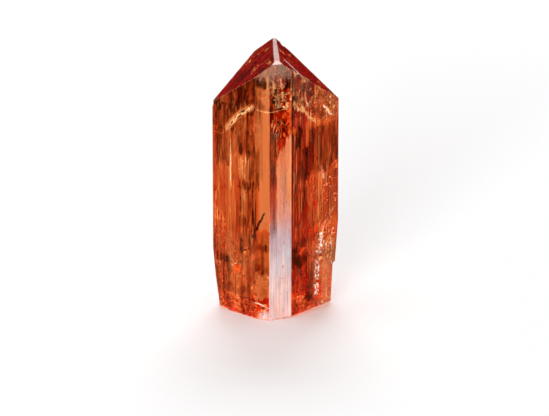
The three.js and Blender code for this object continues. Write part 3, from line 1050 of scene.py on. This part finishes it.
def long_grain(tree, own, wide, tall, detail, strip):
    """Noise drawn out along the crystal, sized in millimetres, in straight strips if they have a width."""
    around = joined(tree, "SNAP", own["around"], strip) if strip else own["around"]
    aside = joined(tree, "DIVIDE", around, wide)
    above = joined(tree, "DIVIDE", own["height"], tall * MM)
    place = node(tree, "ShaderNodeCombineXYZ", X=aside, Z=above).outputs[0]
    noise = node(
        tree, "ShaderNodeTexNoise",
        Vector=place, Scale=1.0, Detail=detail, Roughness=GRAIN_ROUGHNESS,
    )
    return noise.outputs["Fac"]


def grain(tree, own, name):
    """One of the listed grains, carried from its noise range to its own values."""
    size, noise, values = GRAINS[name]
    return mapped(tree, long_grain(tree, own, *size), *noise, *values)


def shard_numbers(tree, own):
    """Random numbers, the same all over each shard of a cell pattern that is drawn out upwards."""
    place = node(tree, "ShaderNodeMapping", Vector=own["place"], Scale=SHARD_RATE).outputs[0]
    cells = node(tree, "ShaderNodeTexVoronoi", Vector=place, Scale=1.0, Detail=1.0, Roughness=0.4)
    return node(tree, "ShaderNodeSeparateColor", Color=cells.outputs["Color"]).outputs


def topaz_tint(tree, own):
    """Colour of the clear surface: its depth of orange-red times its brown tint with painted shade, both
    partly painted light and shade.

    Both vary in streaks along the crystal and, low down and under the roof, by shards and crumbs of painted
    reflection and shade.
    """
    shard = shard_numbers(tree, own)
    crumbs = node(
        tree, "ShaderNodeTexNoise",
        Vector=own["place"], Scale=CRUMB_RATE, Detail=4.0, Roughness=0.65,
    )
    streaks = joined(tree, "ADD", grain(tree, own, "broad_streaks"), grain(tree, own, "fine_streaks"))
    streaks = joined(tree, "MULTIPLY", streaks, own["tone"])
    shard_tone = joined(tree, "MULTIPLY", own["mosaic"], mapped(tree, shard["Red"], *SHARD_TONE))
    tone = joined(tree, "ADD", own["tone"], streaks, shard_tone)
    tone_colour = ramp_of(tree, mapped(tree, tone, 0.0, DEEPEST_TONE), TONE_COLOURS)

    boxed_shade = joined(tree, "MULTIPLY", own["shade"], grain(tree, own, "patches"))
    lines = joined(tree, "ADD", grain(tree, own, "threads"), grain(tree, own, "bars"))
    lines = joined(tree, "MULTIPLY", lines, own["tone"])
    shard_shade = joined(tree, "MULTIPLY", own["mosaic"], mapped(tree, shard["Green"], *SHARD_SHADE))
    crumb_shade = joined(tree, "MULTIPLY", own["mosaic"], mapped(tree, crumbs.outputs["Fac"], *CRUMB_SHADE))
    shade = joined(tree, "ADD", boxed_shade, lines, shard_shade, crumb_shade)
    return mix_colour(tree, 1.0, tone_colour, ramp_of(tree, shade, SHADE_COLOURS), "MULTIPLY")


def skin_colour(tree, own):
    """Colour of the frosted skin: satin low down, partly a painted reflection, warm above, orange on deep
    faces and pale on the roof.
    """
    satin = joined(tree, "ADD", long_grain(tree, own, *SATIN_GRAIN), by_height(tree, own, *SATIN_BLUER))
    satin_colour = ramp_of(tree, satin, SATIN_COLOURS)
    warm_colour = ramp_of(tree, by_height(tree, own, WARM_SPAN), WARM_COLOURS)
    prism_skin = mix_colour(tree, by_height(tree, own, WARM_START), satin_colour, warm_colour)
    below_roof = by_height(tree, own, ROOF_START, 1.0, 0.0)
    deep = joined(tree, "MULTIPLY", mapped(tree, own["tone"], *DEEP_TONES), below_roof)
    deep_skin = mix_colour(tree, deep, prism_skin, DEEP_SKIN)
    on_roof = joined(tree, "SUBTRACT", mapped(tree, own["tone"], *ROOF_TONES, 1.0, 0.0), below_roof)
    return mix_colour(tree, mapped(tree, on_roof, 0.0, 1.0), deep_skin, ROOF_SKIN)


def skin_share(tree, own):
    """Share of frosted skin: the point's own frost in hairs, clouds and pits, thinner under brown tint and
    painted shade.
    """
    unshaded = mapped(tree, own["shade"], 0.0, 1.0, 1.0, FROST_UNDER_SHADE)
    broken = [grain(tree, own, name) for name in ("hairs", "clouds", "pits")]
    return mapped(tree, joined(tree, "MULTIPLY", own["frost"], *broken, unshaded), 0.0, 1.0)


def shadow_light(tree):
    """What a lamp's light keeps on its straight way through: one colour going in, another coming out."""
    entering = node(tree, "ShaderNodeBsdfTransparent", Color=SHADOW_ENTERING)
    leaving = node(tree, "ShaderNodeBsdfTransparent", Color=SHADOW_LEAVING)
    from_inside = tree.nodes.new("ShaderNodeNewGeometry").outputs["Backfacing"]
    return mix_shader(tree, from_inside, entering.outputs["BSDF"], leaving.outputs["BSDF"])


def topaz_material():
    """Clear orange-red topaz that absorbs light by depth, under a frosted skin where it is worn or etched."""
    material, tree = fresh_material("topaz")
    own = crystal_inputs(tree)
    clear = node(
        tree, "ShaderNodeBsdfPrincipled",
        Base_Color=topaz_tint(tree, own), Roughness=CLEAR_ROUGHNESS, IOR=TOPAZ_IOR, Transmission_Weight=1.0,
    )
    skin = node(tree, "ShaderNodeBsdfPrincipled", Base_Color=skin_colour(tree, own), Roughness=SKIN_ROUGHNESS)
    stone = mix_shader(tree, skin_share(tree, own), clear.outputs["BSDF"], skin.outputs["BSDF"])
    for_shadows = tree.nodes.new("ShaderNodeLightPath").outputs["Is Shadow Ray"]
    absorb = node(tree, "ShaderNodeVolumeAbsorption", Color=TOPAZ_ABSORPTION, Density=TOPAZ_DENSITY)
    show(tree, mix_shader(tree, for_shadows, stone, shadow_light(tree)), absorb.outputs["Volume"])
    return material


def crystal():
    """The crystal itself, which stands for the solid."""
    points, quads, values = crystal_mesh()
    obj = closed_object("crystal_body", points, quads, values, topaz_material())
    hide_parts("crystal")


def on_face(face, across, height, depth):
    """Points at a distance across a prism face from its middle, at a height, and at a depth behind it."""
    along = (FACE_ENDS[face] - FACE_STARTS[face]) / np.linalg.norm(FACE_ENDS[face] - FACE_STARTS[face])
    across, height, depth = np.broadcast_arrays(across, height, depth)
    middle = (FACE_STARTS[face] + FACE_ENDS[face]) / 2
    xy = middle + across[..., None] * along - depth[..., None] * face_normal(FACE_ANGLES[face])
    return np.concatenate([xy, height[..., None]], axis=-1)


def under_roof(x, y, depth):
    """Points at a depth straight below places of the roof."""
    xy = np.stack(np.broadcast_arrays(x, y), axis=-1)
    return np.concatenate([xy, (roof_height(xy) - depth)[..., None]], axis=-1)


def strand(route, width, depth, seed, sway=0.0, stride=2.0, count=STRAND_POINTS):
    """A flat lens-shaped profile carried along a route, pointed at both ends and straying sideways."""
    knots = np.array([on_face(*stop, depth) for stop in route])
    outs = np.array([[*face_normal(FACE_ANGLES[stop[0]]), 0.0] for stop in route])
    run = np.concatenate([[0], np.cumsum(np.linalg.norm(np.diff(knots, axis=0), axis=1))])
    t = np.linspace(0, 1, count)
    at = t * run[-1]
    line = np.stack([np.interp(at, run, knots[:, i]) for i in range(3)], axis=1)
    out = np.stack([np.interp(at, run, outs[:, i]) for i in range(3)], axis=1)
    beside = np.cross(out, np.gradient(line, axis=0))
    beside /= np.linalg.norm(beside, axis=1)[:, None]
    full = STRAND_FULL + STRAND_UNEVEN * waves(at, 0 * at, STRAND_BEAD, seed)
    half = width / 2 * np.sqrt(np.sin(np.pi * t).clip(0)) * full
    stray = STRAND_STRAY * width * waves(at, 0 * at, STRAND_WAVE, seed + 1)
    aside = sway * waves(at, 0 * at, stride, seed + 2) + stray
    line = line + aside[:, None] * beside
    turn = np.arange(PROFILE_POINTS) * 2 * np.pi / PROFILE_POINTS
    wide = half[:, None] * np.cos(turn)
    thick = THINNESS * half[:, None] * np.sin(turn)
    return line[:, None, :] + wide[..., None] * beside[:, None, :] + thick[..., None] * out[:, None, :]


def braid(route, width, depth, seed, stride=1.8):
    """Strands that stray and cross each other along one route, which leaves eyes between them."""
    return [
        strand(route, BRAID_SHARE * width, depth + BRAID_STEP * i, seed + 7 * i, BRAID_SWAY * width, stride)
        for i in range(BRAID_STRANDS)
    ]


def frond(face, across, height, lean, length, curl):
    """Stops of a line on a face: it sets off at lean degrees from upright and bends towards lean + curl."""
    t = np.linspace(0, 1, FROND_STOPS)
    heading = np.radians(lean + curl * t)[:-1]
    step = length / len(heading)
    aside = across + step * np.concatenate([[0], np.cumsum(np.sin(heading))])
    above = height + step * np.concatenate([[0], np.cumsum(np.cos(heading))])
    return stops_on(face, *zip(aside, above))


def fronds(face, across, height, lean, length, width, count, seed, curl=FROND_CURL, points=STRAND_POINTS):
    """Many fronds that set off within a window, each number drawn from its span, bent by up to curl."""
    k = np.arange(count) + 41 * seed
    spans = (across, height, lean, length, width)
    pick = [between(span, scatter(k + 500 * i)) for i, span in enumerate(spans)]
    bends = 2 * curl * (scatter(k + 3000) - 0.5)
    depths = between(FROND_DEPTH, scatter(k + 3500))
    return [
        strand(frond(face, x, z, turn, reach, bend), thick, deep, seed + i, count=points)
        for i, (x, z, turn, reach, thick, bend, deep) in enumerate(zip(*pick, bends, depths))
    ]


def uprights(face, across, height, length, width, count, seed):
    """Nearly straight thin lines that run up the crystal."""
    return fronds(
        face, across, height, UPRIGHT_LEAN, length, width, count, seed, UPRIGHT_CURL, UPRIGHT_POINTS,
    )


def chips(places, sizes, stretch, seed, lean):
    """Small bent lenses at these places: rings of ragged points between two poles.

    Each is turned at random, tipped by up to lean quarter turns and drawn out upwards.
    """
    k = np.arange(len(places)) + 97 * seed
    size = between(sizes, scatter(k + 53) ** 2)
    turn = 2 * np.pi * scatter(k)
    tip = lean * (scatter(k + 300) - 0.5) * np.pi
    u = np.stack([np.cos(turn), np.sin(turn), 0 * turn], axis=1)
    side = np.stack([-np.sin(turn), np.cos(turn), 0 * turn], axis=1)
    v = np.cos(tip)[:, None] * np.array([0, 0, 1.0]) + np.sin(tip)[:, None] * side
    w = np.cross(u, v)
    around = np.arange(PROFILE_POINTS) * 2 * np.pi / PROFILE_POINTS
    ragged = between(CHIP_RAGGED, scatter(k[:, None] * 13 + np.arange(PROFILE_POINTS)))
    level = np.sin(np.linspace(-np.pi / 2, np.pi / 2, CHIP_RINGS))
    ring = np.sqrt(np.clip(1 - level ** 2, 0, 1))[:, None]
    x = ring * (np.cos(around) * ragged)[:, None, :]
    y = ring * (np.sin(around) * ragged)[:, None, :]
    bend = CHIP_BEND * (scatter(k + 700) - 0.5)[:, None, None] * (x * x + CHIP_TWIST * y)
    rise = THINNESS * level[:, None] + bend
    scale = size[:, None, None, None]
    shape = x[..., None] * u[:, None, None, :] + stretch * y[..., None] * v[:, None, None, :]
    return scale * (shape + rise[..., None] * w[:, None, None, :]) + places[:, None, None, :]


def strewn(face, across, height, depth, count, sizes, stretch, seed, lean=CHIP_LEAN):
    """Chips spread at random over a window of a face and over a span of depths."""
    k = np.arange(count) + 211 * seed
    pick = [between(span, scatter(k + 1000 * i)) for i, span in enumerate((across, height, depth))]
    return chips(on_face(face, *pick), sizes, stretch, seed, lean)


def strewn_along(route, spread, depth, count, sizes, stretch, seed, lean):
    """Chips strewn along a route on one face, aside from it by up to half the spread."""
    k = np.arange(count) + 173 * seed
    stops = np.array([stop[1:] for stop in route])
    at = scatter(k) * (len(stops) - 1)
    across = np.interp(at, np.arange(len(stops)), stops[:, 0]) + spread * (scatter(k + 400) - 0.5)
    height = np.interp(at, np.arange(len(stops)), stops[:, 1]) + spread * (scatter(k + 800) - 0.5)
    places = on_face(route[0][0], across, height, between(depth, scatter(k + 1200)))
    return chips(places, sizes, stretch, seed, lean)


def kept_inside(points):
    """Points that reach past a face, the roof or the foot go back along its normal to just inside it."""
    for i, out in enumerate(face_normal(FACE_ANGLES)):
        past = points[:, :2] @ out - FACE_STARTS[i] @ out + INNER_MARGIN
        points[:, :2] -= np.maximum(past, 0)[:, None] * out
    low_x, high_x = side_limits(points[:, 2])
    points[:, 0] = np.clip(points[:, 0], low_x + INNER_MARGIN, high_x - INNER_MARGIN)
    lowest = foot_height(points[:, :2]) + FOOT_MARGIN
    points[:, 2] = np.clip(points[:, 2], lowest, roof_height(points[:, :2]) - INNER_MARGIN)
    return points


def mottle_group():
    """Shared cloudy grain in the crystal's own space, of a given size in millimetres."""
    group = bpy.data.node_groups.new("mottle", "ShaderNodeTree")
    group.interface.new_socket("Grain", in_out="INPUT", socket_type="NodeSocketFloat")
    group.interface.new_socket("Value", in_out="OUTPUT", socket_type="NodeSocketFloat")
    enter = group.nodes.new("NodeGroupInput")
    leave = group.nodes.new("NodeGroupOutput")
    place = group.nodes.new("ShaderNodeTexCoord").outputs["Object"]
    rate = joined(group, "DIVIDE", 1 / MM, enter.outputs["Grain"])
    noise = node(group, "ShaderNodeTexNoise", Vector=place, Scale=rate, Detail=3.0, Roughness=GRAIN_ROUGHNESS)
    group.links.new(noise.outputs["Fac"], leave.inputs["Value"])
    return group


def film_material(name):
    """A thin film inside the crystal, its colours mixed by the shared mottle."""
    colours, roughness, metallic, size = FILMS[name]
    material, tree = fresh_material(name)
    mottle = tree.nodes.new("ShaderNodeGroup")
    mottle.node_tree = MOTTLE
    mottle.inputs["Grain"].default_value = size
    places = between(FILM_SPREAD, np.linspace(0, 1, len(colours)))
    colour = ramp_of(tree, mottle.outputs["Value"], list(zip(places, colours)))
    film = node(tree, "ShaderNodeBsdfPrincipled", Base_Color=colour, Roughness=roughness, Metallic=metallic)
    show(tree, film.outputs["BSDF"])
    return material


def inner_piece(name, film, strands, groups):
    """One object from strands and groups of chips, all of them grids that close around."""
    grids = [*strands, *(chip for group in groups for chip in group)]
    points, quads = joined_grids(grids, [True] * len(grids))
    closed_object(name, kept_inside(points), quads, {}, film_material(film))


def gold_veins():
    """Healed cracks that glint gold: a zigzag across the front under the roof, carried on around the back."""
    strands = [
        *braid(LEFT_VEIN, 0.85, 0.35, 1),
        strand(LEFT_TAIL, 0.3, 0.35, 5),
        strand(THREAD, 0.16, 0.4, 6),
        *braid(RIGHT_VEIN, 0.95, 0.3, 7),
        strand(HOOK, 0.22, 0.35, 11),
        strand(HOOK_TIP, 0.5, 0.35, 12),
    ]
    for i, route in enumerate(BACK_VEINS):
        strands += braid(route, 0.8, 0.45, 15 + 5 * i, stride=4.0)
    strands += fronds(LEFT_L, (-1.5, 4.5), (36.0, 38.6), (110, 165), (1.0, 3.0), (0.06, 0.14), 26, 25)
    groups = [
        strewn_along(LEFT_VEIN[-2:], 0.7, (0.3, 0.4), 16, (0.08, 0.3), 1.0, 1, 1.0),
        strewn_along(RIGHT_VEIN, 0.5, (0.25, 0.4), 26, (0.08, 0.3), 1.0, 2, 1.0),
        strewn(RIGHT_L, (2.4, 5.6), (37.0, 42.5), (0.3, 0.8), 40, (0.06, 0.36), 1.2, 3, 1.0),
    ]
    inner_piece("gold_veins", "gold_vein", strands, groups)


def growth_tubes():
    """Tubes along the crystal that show as pale upright lines."""
    strands = [strand(LONG_TUBE, 0.42, 0.35, 60)]
    strands += [
        strand(stops_on(LEFT_L, (x, high), (x + TUBE_LEAN, low)), width, 0.35, 61 + i)
        for i, (x, low, high, width) in enumerate(SHORT_TUBES)
    ]
    strands += uprights(LEFT_L, (-5.6, 5.6), (14.0, 30.0), (2.0, 7.0), (0.06, 0.16), 22, 72)
    strands += uprights(RIGHT_L, (-5.8, 5.0), (15.0, 32.0), (2.0, 6.0), (0.05, 0.14), 9, 73)
    strands += uprights(BACK_G, (-6.0, 6.0), (4.0, 26.0), (4.0, 9.0), (0.1, 0.3), 14, 70)
    strands += uprights(BACK_R, (-5.0, 5.0), (4.0, 26.0), (4.0, 9.0), (0.1, 0.3), 12, 71)
    inner_piece("growth_tubes", "growth_tube", strands, [])


def feather():
    """The feathery crack behind the front face: bent ribs and many crumbs, brown to gold."""
    strands = [
        *fronds(RIGHT_M, (-1.8, 0.6), (41.0, 45.0), (-50, 40), (0.6, 1.6), (0.1, 0.3), 8, 80),
        *fronds(LEFT_M, (0.4, 1.4), (43.5, 46.5), (-30, 40), (0.6, 1.5), (0.1, 0.25), 6, 81),
        *fronds(RIGHT_M, (-1.6, 0.6), (36.5, 39.5), (150, 215), (1.0, 2.6), (0.08, 0.2), 9, 82),
    ]
    groups = [
        strewn(RIGHT_M, (-1.0, 1.9), (40.4, 43.8), (0.3, 0.9), 46, (0.18, 0.65), 1.2, 10, 1.4),
        strewn(RIGHT_M, (-2.0, 0.6), (43.4, 46.4), (0.3, 0.9), 24, (0.14, 0.5), 1.8, 13, 1.2),
        strewn(LEFT_M, (0.5, 1.5), (42.4, 47.0), (0.3, 0.8), 18, (0.12, 0.4), 1.8, 14, 1.2),
        strewn(RIGHT_L, (-6.2, -0.8), (40.0, 47.5), (0.3, 0.9), 56, (0.12, 0.55), 2.4, 15, 0.5),
        strewn(RIGHT_M, (-2.0, 2.1), (46.2, 49.0), (0.22, 0.4), 26, (0.16, 0.42), 1.1, 11, 1.0),
        strewn(LEFT_M, (-1.2, 1.4), (46.2, 48.4), (0.22, 0.5), 22, (0.12, 0.36), 1.2, 12, 1.0),
    ]
    inner_piece("feather", "feather_film", strands, groups)


def dark_marks_and_shade():
    """Dark needles, lines and pits inside the faces, dark ribs in the feather, and dark backings of painted
    shade behind the left vein, the crumbling vein and the feather.
    """
    strands = [
        strand(NEEDLE, 0.6, 0.3, 40),
        # Painted shade: a dark strand behind the left vein that darkens the gaps in its braid
        strand(LEFT_VEIN, 0.7, 0.9, 47),
        *uprights(LEFT_L, (1.2, 5.8), (12.5, 22.0), (1.5, 6.0), (0.08, 0.24), 44, 41),
        *uprights(LEFT_L, (-5.4, 5.6), (26.0, 33.0), (2.0, 6.0), (0.06, 0.18), 26, 50),
        *uprights(RIGHT_L, (-6.3, -2.0), (17.0, 31.0), (2.0, 7.0), (0.1, 0.34), 20, 43),
        *uprights(RIGHT_L, (-1.5, 5.5), (16.0, 31.0), (2.0, 6.0), (0.05, 0.14), 9, 51),
        *fronds(RIGHT_M, (-2.0, 0.4), (40.0, 46.0), (-70, 70), (0.6, 1.8), (0.1, 0.3), 10, 42),
        *fronds(RIGHT_M, (-1.2, 0.8), (36.4, 39.5), (140, 195), (1.0, 2.8), (0.12, 0.36), 20, 44),
        *uprights(BACK_G, (-6.5, 6.5), (4.0, 30.0), (2.0, 6.0), (0.06, 0.2), 30, 45),
        *uprights(BACK_R, (-5.4, 5.4), (4.0, 30.0), (2.0, 6.0), (0.06, 0.2), 26, 46),
    ]
    groups = [
        # Painted shade: dark chips behind the crumbling vein's bright chips
        strewn_along(CRUMBLED_VEIN, 1.2, (0.6, 1.0), 60, (0.1, 0.35), 1.4, 48, 1.2),
        # Painted shade: dark chips behind the feather's crumbs
        strewn(RIGHT_M, (-1.8, 1.6), (40.4, 46.0), (0.8, 1.3), 34, (0.2, 0.6), 1.3, 49, 1.2),
    ]
    inner_piece("dark_marks_and_shade", "dark_mark", strands, groups)


def red_films():
    """Films of bright red just under the zigzag and low in the crystal."""
    groups = [
        strewn(RIGHT_M, (0.8, 2.2), (35.8, 40.2), (0.3, 0.9), 16, (0.25, 0.8), 1.4, 20),
        strewn(RIGHT_L, (-6.4, -4.0), (35.5, 40.0), (0.3, 0.9), 20, (0.25, 0.8), 1.3, 21),
        strewn(RIGHT_L, (-4.5, 0.0), (24.6, 26.2), (0.3, 0.8), 14, (0.1, 0.45), 0.7, 22),
        strewn(LEFT_L, (-0.5, 6.0), (23.0, 25.8), (0.3, 0.8), 30, (0.1, 0.42), 0.9, 26),
        strewn(RIGHT_L, (-6.0, 5.0), (1.5, 17.0), (0.4, 2.5), 22, (0.2, 0.9), 1.5, 25),
        strewn(LEFT_L, (-5.0, 5.5), (1.5, 17.0), (0.4, 2.5), 24, (0.2, 0.9), 1.5, 23),
        strewn(BACK_R, (-5.0, 5.0), (2.0, 22.0), (0.4, 3.0), 26, (0.2, 0.9), 1.5, 24),
    ]
    inner_piece("red_films", "red_film", [], groups)


def roof_places():
    """Places of the flecks under the roof, a few of them around the middle of each cluster."""
    k = np.arange(CLUSTER_FLECKS * len(ROOF_CLUSTERS))
    x, y = np.repeat(np.array(ROOF_CLUSTERS), CLUSTER_FLECKS, axis=0).T
    x = x + CLUSTER_SPREAD[0] * (scatter(k) - 0.5)
    y = y + CLUSTER_SPREAD[1] * (scatter(k + 60) - 0.5)
    return under_roof(x, y, between(CLUSTER_DEPTH, scatter(k + 90)))


def gold_flecks():
    """Small gold crack faces low in the crystal, at its edges and in clusters under the roof, their bright
    gold partly a painted glint.
    """
    groups = [
        strewn(LEFT_L, (-0.9, 1.4), (1.5, 12.0), (0.3, 1.2), 40, (0.08, 0.4), 1.5, 30, 1.0),
        strewn(LEFT_L, (1.4, 5.8), (5.0, 13.0), (0.3, 1.2), 34, (0.06, 0.3), 1.3, 31, 1.0),
        strewn(LEFT_L, (-5.8, -2.8), (13.5, 20.5), (0.3, 0.8), 26, (0.08, 0.3), 2.4, 32, 0.5),
        strewn(LEFT_M, (-1.2, 1.2), (8.0, 12.0), (0.3, 1.0), 16, (0.06, 0.28), 1.3, 33, 1.0),
        strewn(LEFT_L, (-5.5, 5.0), (38.0, 43.0), (0.3, 1.2), 50, (0.05, 0.25), 1.0, 34, 1.0),
        strewn(RIGHT_L, (-1.0, 6.0), (38.0, 44.0), (0.3, 1.2), 60, (0.08, 0.42), 1.0, 35, 1.0),
        strewn(RIGHT_L, (5.6, 6.4), (26.8, 28.6), (0.25, 0.5), 12, (0.15, 0.4), 1.2, 37, 1.0),
        strewn(RIGHT_L, (1.2, 5.6), (8.0, 17.5), (0.25, 0.7), 70, (0.08, 0.4), 1.7, 38, 1.0),
        strewn(LEFT_L, (-5.8, 5.8), (1.5, 14.0), (0.25, 0.8), 60, (0.05, 0.26), 1.6, 39, 1.0),
        chips(roof_places(), (0.12, 0.45), 1.4, 36, 0.8),
    ]
    inner_piece("gold_flecks", "gold_fleck", [], groups)


def sparkles():
    """Bright crack faces: a crumbling vein low on the right and glints at the edges and by the hook."""
    strands = [strand(route, 0.22, 0.3, 90 + i) for i, route in enumerate(GLINT_LINES)]
    groups = [
        strewn_along(CRUMBLED_VEIN, 1.2, (0.25, 0.5), 150, (0.06, 0.32), 1.4, 40, 1.2),
        strewn(RIGHT_L, (0.4, 1.2), (3.2, 5.0), (0.25, 0.4), 7, (0.15, 0.5), 1.2, 45, 0.6),
        strewn_along(UPPER_CHAIN, 0.6, (0.25, 0.5), 26, (0.06, 0.32), 1.6, 41, 1.2),
        strewn(RIGHT_L, (2.0, 6.2), (8.0, 26.0), (0.25, 0.7), 80, (0.05, 0.28), 2.0, 42, 1.2),
        strewn(RIGHT_L, (0.8, 5.6), (10.0, 17.0), (0.25, 0.6), 46, (0.06, 0.34), 1.8, 46, 1.0),
        strewn_along(HOOK_TIP, 0.4, (0.25, 0.45), 12, (0.1, 0.35), 1.0, 43, 1.2),
        strewn(BACK_G, (-3.0, 6.0), (2.0, 14.0), (0.3, 1.0), 40, (0.06, 0.32), 1.5, 44, 1.2),
    ]
    inner_piece("sparkles", "glint", strands, groups)


def floor():
    """A plain pale floor just under the foot, which the crystal's faces don't mirror."""
    corners = np.array([(-1, -1), (1, -1), (1, 1), (-1, 1)]) * FLOOR_HALF
    mesh = bpy.data.meshes.new("floor")
    mesh.from_pydata([(x, y, -FLOOR_DROP * MM) for x, y in corners], [], [(0, 1, 2, 3)])
    obj = bpy.data.objects.new("floor", mesh)
    bpy.context.scene.collection.objects.link(obj)
    material, tree = fresh_material("pale_floor")
    matt = node(
        tree, "ShaderNodeBsdfPrincipled",
        Base_Color=FLOOR_COLOUR, Roughness=FLOOR_ROUGHNESS, Specular_IOR_Level=0.0,
    )
    show(tree, matt.outputs["BSDF"])
    mesh.materials.append(material)
    obj.visible_glossy = False


def softbox(name, place, size, energy, mirrored):
    """A square soft lamp that faces the crystal, isn't seen through it and may be mirrored in its faces."""
    lamp = bpy.data.lights.new(name, "AREA")
    lamp.shape = "SQUARE"
    lamp.size = size
    lamp.energy = energy
    obj = bpy.data.objects.new(name, lamp)
    obj.location = place
    obj.rotation_euler = (Vector(place) - LAMP_AIM).to_track_quat("Z", "Y").to_euler()
    obj.visible_transmission = False
    obj.visible_glossy = mirrored
    bpy.context.scene.collection.objects.link(obj)


def studio():
    """White for the camera, even light for matt surfaces, and a dark room with a bright ceiling for glass."""
    world = bpy.data.worlds.new("studio")
    bpy.context.scene.world = world
    world.use_nodes = True
    tree = world.node_tree
    tree.nodes.clear()
    path = tree.nodes.new("ShaderNodeLightPath").outputs
    way = tree.nodes.new("ShaderNodeTexCoord").outputs["Generated"]
    upwards = node(tree, "ShaderNodeSeparateXYZ", Vector=way).outputs["Z"]
    ceiling = mapped(tree, upwards, *CEILING_EDGE, ROOM_DARK, ROOM_CEILING)
    seen, even, room = [
        node(tree, "ShaderNodeBackground", Color=(1, 1, 1, 1), Strength=strength).outputs["Background"]
        for strength in (ROOM_SEEN, ROOM_EVEN, ceiling)
    ]
    by_glass = joined(tree, "MAXIMUM", path["Is Glossy Ray"], path["Is Transmission Ray"])
    for_light = mix_shader(tree, by_glass, even, room)
    for_all = mix_shader(tree, path["Is Camera Ray"], for_light, seen)
    out = tree.nodes.new("ShaderNodeOutputWorld")
    tree.links.new(for_all, out.inputs["Surface"])
    for lamp in LAMPS:
        softbox(*lamp)


def camera():
    """The photo's camera: in front, raised, and aimed so that the crystal stands where the photo has it."""
    lens = bpy.data.cameras.new("photo_camera")
    lens.lens = CAMERA_LENS
    lens.sensor_width = SENSOR_WIDTH
    lens.clip_start = NEAREST_SEEN
    obj = bpy.data.objects.new("photo_camera", lens)
    back = Vector((0, -math.cos(CAMERA_ELEVATION), math.sin(CAMERA_ELEVATION)))
    obj.location = PHOTO_AIM + CAMERA_DISTANCE * back
    obj.rotation_euler = (obj.location - PHOTO_CENTRE).to_track_quat("Z", "Y").to_euler()
    bpy.context.scene.collection.objects.link(obj)
    bpy.context.scene.camera = obj


def light_settings():
    """True colours, and light that is followed far enough through the crystal."""
    scene = bpy.context.scene
    scene.view_settings.view_transform = "Standard"
    scene.cycles.max_bounces = LIGHT_STEPS
    scene.cycles.transmission_bounces = LIGHT_STEPS
    scene.cycles.transparent_max_bounces = LIGHT_STEPS
    scene.cycles.glossy_bounces = MIRROR_STEPS


MOTTLE = mottle_group()
crystal()
gold_veins()
growth_tubes()
feather()
dark_marks_and_shade()
red_films()
gold_flecks()
sparkles()
floor()
studio()
camera()
light_settings()
